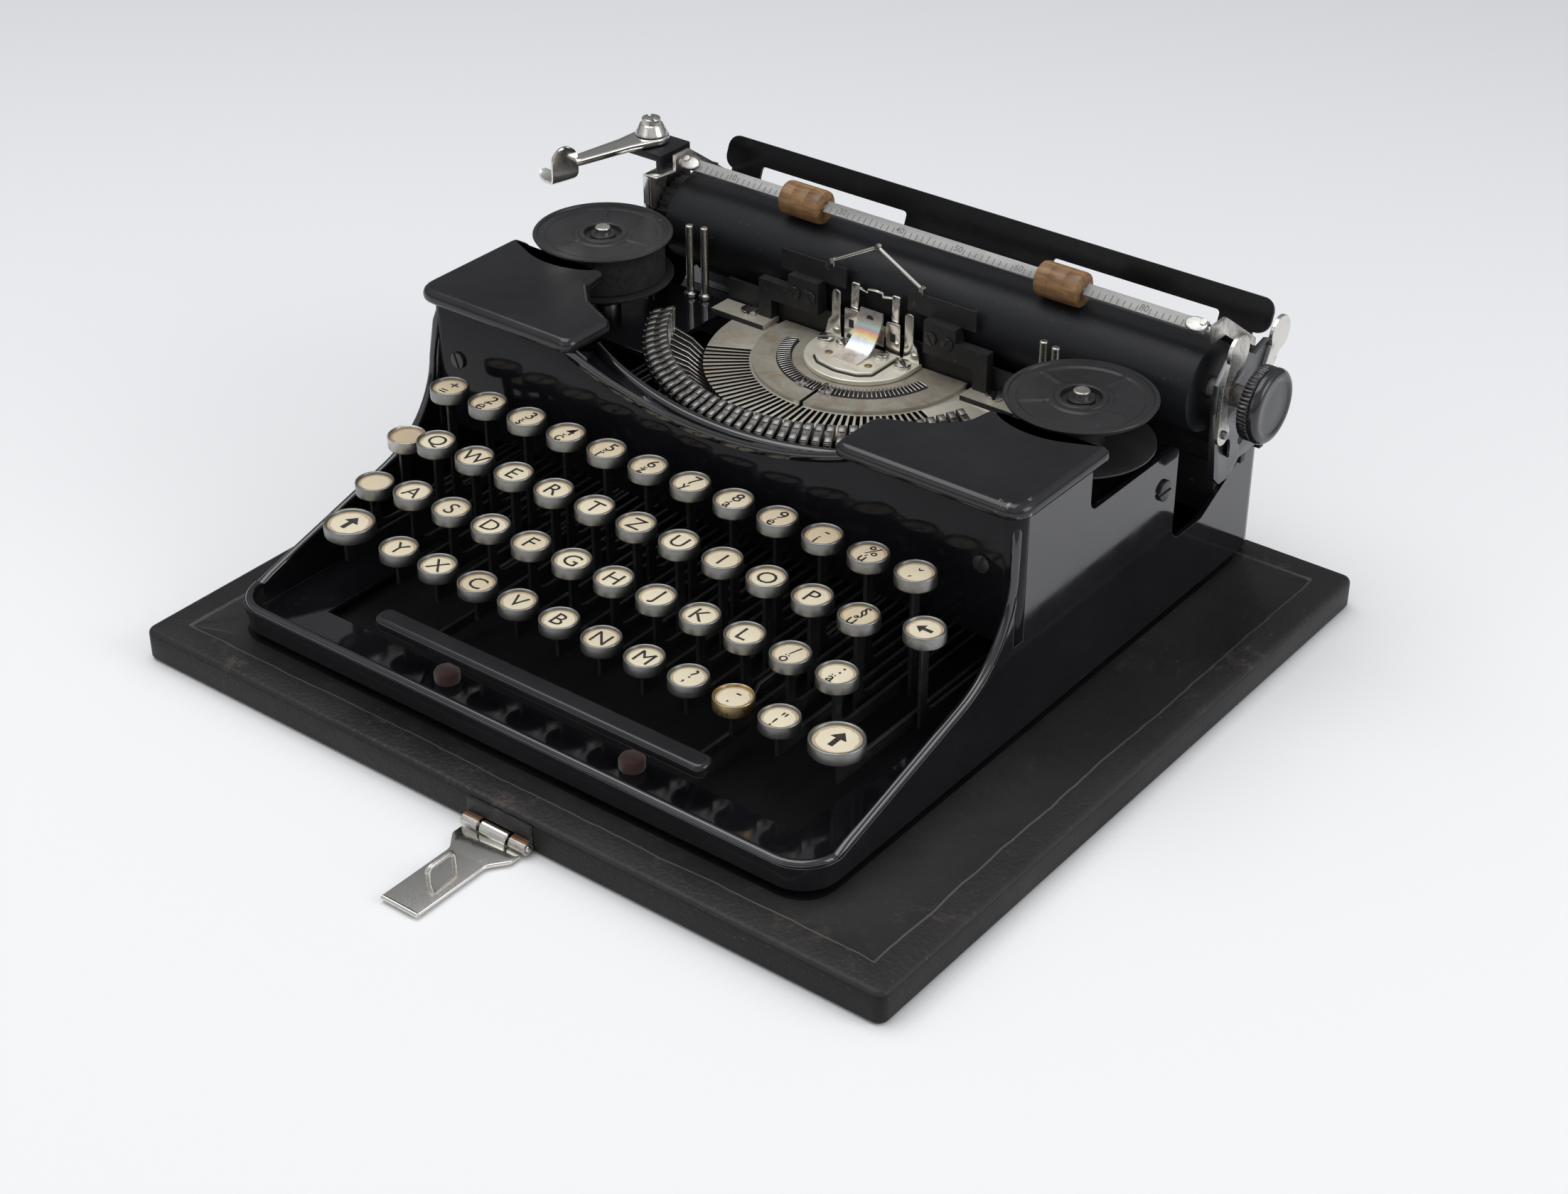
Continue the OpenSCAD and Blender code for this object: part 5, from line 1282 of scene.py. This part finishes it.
    def felts(self):
        s = Shape()
        for x in (-42.0, 42.0):
            s.lathe([(0, 0), (4.3, 0), (4.6, 0.8), (4.6, 3.4), (4.2, 4.4), (3.0, 4.9), (0, 5.0)],
                    (x, -110.5, 16.5), 'Z', "felt", 40,
                    lambda r, h, a: (r * (1 + 0.012 * math.sin(7 * a) + 0.01 * math.sin(11 * a + h)), h))
        made = s.stand_for("felt_pads", "felt_pads_cut")


class TYPEWRITER_OT_basket(PieceMaker, bpy.types.Operator):
    """Type segment, typebars, rest, type guide, ribbon carrier and card holder"""
    bl_idname = "typewriter.basket"
    bl_label = "Type basket"

    def make(self):
        self.segment()
        self.bars()
        self.guide()
        self.carrier()
        dress("typebar_rest", "dull_black", width=0.5)

        def holder_part(c, n):
            if c.z > 111.3:
                return 0
            return 1 if 23.0 < abs(c.x - PRINT_X) < 38.0 and c.y < 74.0 and c.z > 91.5 else None
        dress("card_holder", "dull_black", width=0.3, pick=(("nickel", "block_grey"), holder_part))

    def segment(self):
        """Stained segment with a serrated ring, open where the bar of key H passes"""
        def ring_part(c, n):
            r = math.hypot(c.x - PRINT_X, c.y - SEGMENT_Y)
            across = abs(n.x * (c.y - SEGMENT_Y) - n.y * (c.x - PRINT_X)) / max(r, 1.0)
            if c.z < 73.0:
                return 1
            # Slot walls and the outer ring's underside are painted dull black as shade
            if r > 40.0 and (across > 0.6 or c.z < 77.5):
                return 2
            return 0 if r < 41.5 and c.z > 77.0 else None
        s = Shape()
        s.add(rounded_copy("type_segment", "segment", width=0.2, segments=1,
                           pick=(("segment_dark", "bar_steel", "dull_black"), ring_part)))
        inner, outer = 27.2, 33.0
        # A thin dull black band under the teeth is painted shade in the grooves between them
        for start, end in ((-170.0, -89.2), (-84.8, -10.0)):
            band = arc(PRINT_X, SEGMENT_Y, outer, start, end, 26)
            band += arc(PRINT_X, SEGMENT_Y, inner, end, start, 26)
            s.plate(band, 81.9, 82.15, 'Z', "dull_black", 0.05, 1)
        tooth = Shape()
        tooth.plate([(-0.25, -2.5), (0.25, -2.5), (0.22, 2.5), (-0.22, 2.5)], -0.2, 1.0, 'Z', "segment_dark",
                    0.12, 1)
        spots, middle, aside = [], (inner + outer) / 2, {27: -0.7, 28: 0.7}
        for k in range(54):
            a = math.radians((k - 26.5) * BAR_PITCH + aside.get(k, 0.0))
            spots.append(((PRINT_X + middle * math.sin(a), SEGMENT_Y - middle * math.cos(a), 82.1), (1, 1, 1),
                          (0.12, 0, a), 0.0))
        s.add(copies(spots, tooth.mesh("tooth"), "bar_steel"))
        s.stand_for("type_segment", "type_segment_milled")

    def bars(self):
        """Typebars with dark slugs, two bright raised types on each"""
        def slug_part(c, n):
            r = math.hypot(c.x - PRINT_X, c.y - SEGMENT_Y)
            return 0 if r > 72.5 and c.z > 80.0 else None
        spots = {"typebars": [], "typebar_h": []}
        drop, run = 3.1, 8.5
        for k in range(BAR_COUNT):
            a = math.radians((k - BAR_COUNT // 2) * BAR_PITCH)
            tip = math.radians(4.0) * (a / math.radians(63.0)) ** 2
            for r in (75.4, 80.1):
                u, v = r - BAR_PIVOT_R, 92.6 - (r - 73.5) * drop / run - BAR_PIVOT_Z
                u, v = (BAR_PIVOT_R + u * math.cos(tip) - v * math.sin(tip),
                        BAR_PIVOT_Z + u * math.sin(tip) + v * math.cos(tip))
                spots["typebar_h" if k == BAR_H else "typebars"].append((
                    (PRINT_X + u * math.sin(a), SEGMENT_Y - u * math.cos(a), v), (1, 1, 1),
                    (math.atan2(drop, run) - tip, 0.0, a), 0.0))
        for node, here in spots.items():
            type_block = Shape()
            type_block.plate(rectangle(-1.15, 1.15, -1.5, 1.5), -0.3, 0.4, 'Z', "type_metal", 0.14, 1)
            s = Shape()
            s.add(rounded_copy(node, "bar_steel", width=0.16, segments=1, pick=(("slug_steel",), slug_part)))
            s.add(copies(here, type_block.mesh("type_block"), "type_metal"))
            s.stand_for(node, node + "_cut")

    def guide(self):
        """Horseshoe plate on the segment with the shield plate, its tinted tongue, lugs and ribbon fingers"""
        x0, s = PRINT_X, Shape()
        s.plate([(x0 + 22.0, 76.0)] + arc(x0, 69.5, 22.0, 0.0, -180.0, 40) + [(x0 - 22.0, 76.0)], 82.0, 84.0,
                'Z', "guide", 0.5)
        shield = filleted([(x0 - 13.0, 73.5, 1.0), (x0 - 13.0, 57.0, 1.5), (x0 - 9.0, 53.6, 4.0),
                           (x0, 52.0, 9.0), (x0 + 9.0, 53.6, 4.0), (x0 + 13.0, 57.0, 1.5),
                           (x0 + 13.0, 73.5, 1.0)])
        # A dull black plate just wider than the shield shows round its edge as a painted shadow line
        s.plate(inset(shield, -0.7), 83.9, 84.3, 'Z', "dull_black", 0.1, 1)
        s.plate(shield, 84.2, 85.4, 'Z', "guide", 0.35)
        for t in (-1, 1):
            s.lathe([(0, 85.3), (1.5, 85.3), (1.5, 85.55), (1.0, 85.8), (0, 85.85)],
                    (x0 + t * 9.0, 60.5, 0.0), 'Z', "aged_brass", 20)
        path = [(58.0, 85.0), (62.0, 85.15), (65.0, 85.6), (67.6, 86.9), (69.8, 88.9), (71.8, 91.5),
                (73.4, 94.3), (74.5, 97.0), (75.0, 99.6)]
        section = ((-0.96, 0.0), (-1, 0.25), (-0.96, 0.75), (-0.6, 0.8), (0, 0.8), (0.6, 0.8), (0.96, 0.75),
                   (1, 0.25), (0.96, 0.0))
        rings = []
        for i, (y, z) in enumerate(path):
            b, f = Vector(path[max(i - 1, 0)]), Vector(path[min(i + 1, len(path) - 1)])
            ahead = (f - b).normalized()
            out = Vector((-ahead.y, ahead.x))
            half = 5.6 if i < len(path) - 1 else 5.1
            rings.append([(x0 + half * u, y + out.x * w, z + out.y * w) for u, w in section])
        s.loft(rings, "tinted")
        s.lathe([(0, 0.0), (1.5, 0.0), (1.4, 0.16), (0, 0.16)], (x0, 73.4, 96.6), 'Y', "dull_black", 24)
        for t in (-1, 1):
            x = x0 + t * 9.5
            lug = filleted([(x - 3.2, 84.0, 0), (x + 3.2, 84.0, 0), (x + 3.2, 97.0, 0.8),
                            (x - 3.2, 97.0, 0.8)])
            s.plate(lug, 74.9, 76.0, 'Y', "nickel", 0.25, 2)
            # The slot is a dull black patch on the lug's face, painted shade standing in for the opening
            slot = soft_rectangle(x - 1.1, x + 1.1, 89.5, 92.8, 0.3)
            s.plate(slot, 74.8, 75.0, 'Y', "dull_black", 0.05, 1)
            finger = filleted([(x0 + t * 14.0, 83.0, 0), (x0 + t * 21.8, 83.0, 0), (x0 + t * 20.2, 90.0, 1.5),
                               (x0 + t * 18.6, 92.0, 2.0), (x0 + t * 18.6, 103.0, 2.0),
                               (x0 + t * 14.6, 103.0, 2.0), (x0 + t * 14.6, 90.0, 1.0)])
            s.plate(finger, 74.9, 76.0, 'Y', "nickel", 0.3, 2)
        s.stand_for("type_guide", "type_guide_formed")

    def carrier(self):
        """Ribbon carrier: the sliding plate with hooked prongs and the thin bar between them"""
        x0, s = PRINT_X, Shape()
        s.add(rounded_copy("ribbon_vibrator", "nickel_worn", width=0.3))
        for t in (-1, 1):
            x = x0 + t * 9.2
            hook = filleted([(x - 1.6, 95.0, 1.4), (x + 1.6, 95.0, 1.4), (x + 2.2, 107.5, 0.8),
                             (x - 1.4, 107.5, 0.8)])
            s.plate(hook, 76.2, 77.4, 'Y', "nickel", 0.3, 2)
        s.tube([(x0 - 9.2, 76.8, 106.3), (x0 - 3.5, 76.8, 105.2), (x0 - 3.2, 76.8, 106.6), (x0, 76.8, 106.8),
                (x0 + 3.2, 76.8, 106.6), (x0 + 3.5, 76.8, 105.2), (x0 + 9.2, 76.8, 106.3)], 0.45, "nickel", 8)
        s.stand_for("ribbon_vibrator", "ribbon_carrier")


class TYPEWRITER_OT_spools(PieceMaker, bpy.types.Operator):
    """Ribbon spools with embossed flanges, the wound ribbon and the pins"""
    bl_idname = "typewriter.spools"
    bl_label = "Ribbon spools"

    def make(self):
        for node, x, spokes in (("left_spool", -SPOOL_X, (7.7, 127.7, 247.7)),
                                ("right_spool", SPOOL_X, (79, 158, 222))):
            self.spool(node, x, spokes)
        s = Shape()
        turns = [(23.5 - 0.12 * (k % 2), 92.3 + 13.8 * k / 24) for k in range(1, 24)]
        profile = [(9.05, 91.9), (23.2, 91.9), (23.5, 92.3), *turns,
                   (23.5, 106.1), (23.2, 106.5), (9.05, 106.5)]
        s.lathe(profile, (-SPOOL_X, SPOOL_Y, 0.0), 'Z', "ribbon", 72, closed=True)
        s.stand_for("ribbon_roll", "ribbon_wound", 60.0)
        dress("ribbon_pins", "nickel_worn", width=0.9, segments=3)

    def spool(self, node, x, spokes):
        """A spool whose upper flange has sunk panels between its spokes"""
        def step(value, low, high):
            t = max(0.0, min(1.0, (value - low) / (high - low)))
            return t * t * (3 - 2 * t)

        def emboss(r, h, a):
            if h < 107.0 or r > 26.5 or r < 10.2:
                return r, h
            panel = step(r, 11.0, 11.9) * (1 - step(r, 21.6, 22.5))
            for angle in spokes:
                off = math.radians(angle) - a
                off = abs(math.atan2(math.sin(off), math.cos(off))) * r
                panel *= step(off, 0.5, 1.2)
            dent = 0.0
            if x > 0:
                away = math.hypot(r * math.cos(a) - 15.9, r * math.sin(a) + 7.4)
                dent = 1 - step(away, 5.4, 6.3)
            return r, h - 0.6 * max(panel * (1 - dent), 0.45 * dent)
        top = [(26.8, 108.1), (26.5, 108.5), (25.9, 108.6), (25.2, 108.5), (24.9, 107.9), (24.2, 107.8)]
        top += [(23.8 - 0.45 * k, 107.8) for k in range(31)]
        top += [(9.6, 107.8), (9.3, 108.3), (8.8, 108.5), (7.6, 108.5), (7.2, 108.2), (6.9, 106.6),
                (3.6, 106.6), (3.05, 106.6)]
        profile = [(3.05, 90.5), (26.3, 90.5), (26.8, 90.9), (26.8, 91.5), (26.4, 91.7), (9.0, 91.7),
                   (9.0, 106.7), (26.0, 106.7)] + top
        s = Shape()
        s.lathe(profile, (x, SPOOL_Y, 0.0), 'Z', "spool_black", 160, emboss, closed=True)
        s.lathe([(3.1, 106.6), (4.9, 106.6), (4.9, 107.6), (4.5, 108.0), (3.1, 108.0)], (x, SPOOL_Y, 0.0),
                'Z', "spool_black", 40, closed=True)
        s.stand_for(node, node + "_pressed", 40.0)


class TYPEWRITER_OT_carriage(PieceMaker, bpy.types.Operator):
    """Carriage channel, end plates, paper table and hand levers"""
    bl_idname = "typewriter.carriage"
    bl_label = "Carriage"

    def make(self):
        dress("carriage_frame", "dull_black", width=0.4)
        s = Shape()
        s.add(rounded_copy("right_end_plate", "grey_steel", width=0.5))
        s.add(screw_head((CARRIAGE_X + 126.5, 94.0, 81.0), 6.4, 3.4, (0.0, math.pi / 2, 0.6), "lever_steel"))
        s.stand_for("right_end_plate", "right_end_plate_finished")
        dress("paper_table", "table_black", "satin_edge", 0.4)
        dress("carriage_release", "nickel_worn", width=0.6, segments=3)
        dress("paper_release", "nickel", width=0.6, segments=3)
        self.left_plate()
        self.line_lever()

    def left_plate(self):
        """Black left plate with its nickel angle, the cone washer and the slotted stud"""
        def stud_part(c, n):
            return 0 if c.z > 130.0 and math.hypot(c.x - LINE_PIVOT_X, c.y - AXIS_Y) < 9.0 else None
        s, stud_top = Shape(), 135.4
        sheet = rounded_copy("left_end_plate", "satin", "satin_edge", 0.5, pick=(("nickel",), stud_part))
        for v in sheet.vertices:
            v.co.z = min(v.co.z, stud_top * MM)
        s.add(sheet)
        s.add(screw_head((LINE_PIVOT_X, AXIS_Y, 135.3), 7.4, 6.8, (0.0, 0.0, 0.9), "nickel_worn"))
        x = CARRIAGE_X - 124.0
        s.plate(filleted([(79.6, 86.0, 0.5), (85.5, 86.0, 0.5), (88.5, 112.0, 2.0), (91.0, 121.5, 0.5),
                          (79.6, 121.5, 1.5)]), x + 0.05, x + 1.0, 'X', "nickel_worn", 0.25, 2)
        s.plate(filleted([(x - 2.6, 84.0, 0.5), (x + 0.8, 84.0, 0.5), (x + 1.6, 121.5, 0.5),
                          (x - 2.6, 121.5, 0.5)]), 79.6, 80.5, 'Y', "nickel", 0.25, 2)
        s.plate(filleted([(x - 2.0, 79.6, 0.8), (x + 4.5, 79.6, 0.8), (x + 6.0, 91.0, 1.5),
                          (x - 2.0, 91.0, 0.8)]), 120.7, 121.8, 'Z', "nickel", 0.25, 2)
        s.stand_for("left_end_plate", "left_end_plate_finished")

    def line_lever(self):
        """Tapered flat arm ending in a round-topped ear that curls under into a finger scoop"""
        s = Shape()
        pivot, end = Vector((LINE_PIVOT_X, AXIS_Y)), Vector((-127.6, 62.0))
        ahead = (end - pivot).normalized()
        side = Vector((-ahead.y, ahead.x))
        turn = math.degrees(math.atan2(side.y, side.x))
        outline = [tuple(end + side * 2.9), tuple(pivot + ahead * 13.0 + side * 4.4)]
        outline += arc(pivot.x, pivot.y, 7.0, turn - 24.0, turn - 24.0 + 228.0, 28)
        outline += [tuple(pivot + ahead * 13.0 - side * 4.4), tuple(end - side * 2.9),
                    tuple(end - side * 2.4 + ahead * 2.5), tuple(end + side * 2.4 + ahead * 2.5)]
        s.plate(outline[::-1], 127.35, 130.25, 'Z', "nickel", 0.8, 3)
        low = Vector((-132.2, 51.6, 0.0))
        along, left = Vector((0.278, 0.960, 0.0)), Vector((-0.960, 0.278, 0.0))
        trace = [(0.0, 135.0 - 0.25 * k * k, 0.0, math.sqrt(max(0.05, 36.0 - (6.0 - 0.25 * k * k) ** 2)))
                 for k in range(5)]
        trace += [(0.0, z, 0.0, 6.0) for z in (129.0, 126.5, 124.4)]
        for k in range(1, 7):
            a = math.radians(15.0 * k)
            trace.append((3.6 * (1 - math.cos(a)), 123.8 - 3.6 * math.sin(a), -0.05 * k * k,
                          6.0 - 0.08 * k * k))
        trace += [(6.0, 120.3, -2.2, 3.8), (8.5, 120.9, -2.6, 3.4), (10.5, 121.8, -2.9, 2.5),
                  (11.6, 122.6, -3.0, 1.2)]
        section = ((-1.0, 0.0), (-0.97, 0.55), (-0.8, 0.62), (0.0, 0.62), (0.8, 0.62), (0.97, 0.55),
                   (1.0, 0.0), (0.97, -0.55), (0.8, -0.62), (0.0, -0.62), (-0.8, -0.62), (-0.97, -0.55))
        rings = []
        for i, (u, z, mid, half) in enumerate(trace):
            b, f = Vector(trace[max(i - 1, 0)][:2]), Vector(trace[min(i + 1, len(trace) - 1)][:2])
            run = (f - b).normalized()
            out = Vector((run.y, -run.x))
            ring = []
            for t, w in section:
                p = low + along * (6.0 + mid + half * t) + left * (u + out.x * w)
                ring.append((p.x, p.y, z + out.y * w))
            rings.append(ring)
        s.loft(rings, "nickel")
        s.stand_for("line_space_lever", "line_space_lever_formed", 50.0)


class TYPEWRITER_OT_platen(PieceMaker, bpy.types.Operator):
    """Rubber platen, its shaft, ratchet and knob, and the feed roller"""
    bl_idname = "typewriter.platen"
    bl_label = "Platen"

    def make(self):
        centre = (CARRIAGE_X, AXIS_Y, AXIS_Z)
        s = Shape()
        s.lathe([(4.05, -117.0), (15.7, -117.0), (16.4, -116.5), (16.5, -115.8), (16.5, 115.8), (16.4, 116.5),
                 (15.7, 117.0), (4.05, 117.0)], centre, 'X', "rubber", 96, closed=True)
        s.stand_for("platen", "platen_rubber")
        dress("platen_shaft", "nickel_worn", width=0.6, segments=3)
        dress("platen_ratchet", "dull_black", width=0.2)

        def knurl(r, h, a):
            if 134.0 < h < 137.8 and r > 12.0:
                r -= 0.5 * (0.5 + 0.5 * math.cos(56 * a)) ** 2
            return r, h
        profile = [(4.05, 133.5), (10.6, 133.5), (12.0, 133.8), (13.3, 134.2), (13.6, 134.7), (13.6, 136.0),
                   (13.6, 137.4), (13.3, 137.9), (12.9, 138.2), (13.3, 138.5), (13.75, 138.9), (13.75, 139.9),
                   (13.4, 140.9), (12.7, 141.6), (11.9, 141.95), (11.2, 142.0), (10.4, 141.9), (9.8, 141.5),
                   (9.2, 141.35), (5.0, 141.4), (0.0, 141.5), (0.0, 140.2), (4.05, 140.2)]
        s = Shape()
        s.lathe(profile, centre, 'X', "moulded", 256, knurl, closed=True)
        s.stand_for("platen_knob", "platen_knob_knurled")
        dress("feed_roller", "rubber", width=0.5)


class TYPEWRITER_OT_bail(PieceMaker, bpy.types.Operator):
    """Paper bail with its engraved scale and wooden rollers"""
    bl_idname = "typewriter.bail"
    bl_label = "Paper bail"

    def make(self):
        s = Shape()
        middle = Matrix.Translation(Vector((CARRIAGE_X, BAIL_Y, BAIL_Z)) * MM)
        tilt = middle @ Matrix.Rotation(math.radians(35.0), 4, 'X')

        def end_part(c, n):
            return 0 if abs(c.x - CARRIAGE_X) > 115.6 else None
        s.add(rounded_copy("paper_bail", "scale_plate", width=0.2, pick=(("nickel_worn",), end_part)))
        for side in (-1, 1):
            tab = Shape()
            tab.plate([(4.4 * u, 2.9 * v) for u, v in circle(32)], 0.0, 1.2, 'Z', "bar_steel", 0.5)
            tab.add(screw_head((2.2 * side, 1.2, 1.1), 2.6, 2.6, (0.0, 0.0, 0.7), "nickel_worn"))
            s.add(tab.mesh("end_tab"), tilt @ Matrix.Translation(Vector((side * 112.0, -0.3, 1.7)) * MM))
        step = sizes().scale_step / MM
        shown, first = 43, 45
        for k in range(-shown, shown + 1):
            x = k * step
            if any(abs(x - c) < 11.5 for c in (-BAIL_ROLLER_X, BAIL_ROLLER_X)) or abs(x) > 107.0:
                continue
            if (k + first) % 10 == 0:
                s.add(lettering(str(k + first), 3.6, thin=-0.03),
                      tilt @ Matrix.Translation(Vector((x, -0.2, 1.81)) * MM))
                continue
            high = 0.9 if (k + first) % 5 == 0 else 0.2
            tick = Shape()
            tick.plate(rectangle(x - 0.19, x + 0.19, -2.2, high), 1.79, 1.83, 'Z', "ink", 0.005, 1)
            s.add(tick.mesh("tick"), tilt)
        s.stand_for("paper_bail", "paper_bail_engraved", 30.0)
        for node, x in (("left_bail_roller", -BAIL_ROLLER_X), ("right_bail_roller", BAIL_ROLLER_X)):
            r = Shape()
            r.lathe([(1.65, -9.0), (5.6, -9.0), (6.3, -8.5), (6.5, -7.6), (6.5, -3.4), (6.35, -3.2),
                     (6.5, -3.0), (6.5, 3.0), (6.35, 3.2), (6.5, 3.4), (6.5, 7.6), (6.3, 8.5), (5.6, 9.0),
                     (1.65, 9.0)], (CARRIAGE_X + x, BAIL_Y, BAIL_Z), 'X', "wood", 48, closed=True)
            r.stand_for(node, node + "_turned")


class TYPEWRITER_OT_works(PieceMaker, bpy.types.Operator):
    """Rail, crossbar, pivot rod, comb, spring drum and bell"""
    bl_idname = "typewriter.works"
    bl_label = "Inner works"

    def make(self):
        dress("rear_crossbar", "dull_black", width=0.4)
        dress("carriage_rail", "grey_steel", width=0.5)
        dress("key_pivot_rod", "bar_steel", width=0.4)
        dress("key_comb", "lever_steel", width=0.2, segments=1)
        dress("spring_drum", "grey_steel", width=0.6, segments=3)
        dress("bell", "nickel_worn", width=0.3)


class TYPEWRITER_PT_sidebar(bpy.types.Panel):
    """Lists the finishing steps and their settings"""
    bl_idname = "TYPEWRITER_PT_sidebar"
    bl_label = "Typewriter"
    bl_space_type = 'VIEW_3D'
    bl_region_type = 'UI'
    bl_category = "Typewriter"

    def draw(self, context):
        for step in STEPS:
            self.layout.operator(step.bl_idname)
        for group in (context.scene.typewriter_colours, context.scene.typewriter_sizes):
            box = self.layout.box()
            for name in group.__annotations__:
                box.prop(group, name)


STEPS = (TYPEWRITER_OT_stage, TYPEWRITER_OT_board, TYPEWRITER_OT_body, TYPEWRITER_OT_keys,
         TYPEWRITER_OT_basket, TYPEWRITER_OT_spools, TYPEWRITER_OT_carriage, TYPEWRITER_OT_platen,
         TYPEWRITER_OT_bail, TYPEWRITER_OT_works)
CLASSES = (TypewriterColours, TypewriterSizes, *STEPS, TYPEWRITER_PT_sidebar)


def register():
    for cls in CLASSES:
        bpy.utils.register_class(cls)
    bpy.types.Scene.typewriter_colours = bpy.props.PointerProperty(type=TypewriterColours)
    bpy.types.Scene.typewriter_sizes = bpy.props.PointerProperty(type=TypewriterSizes)


def unregister():
    del bpy.types.Scene.typewriter_sizes
    del bpy.types.Scene.typewriter_colours
    for cls in reversed(CLASSES):
        bpy.utils.unregister_class(cls)


def main():
    register()
    for step in STEPS:
        group, name = step.bl_idname.split(".")
        getattr(getattr(bpy.ops, group), name)()


if __name__ == "__main__":
    main()
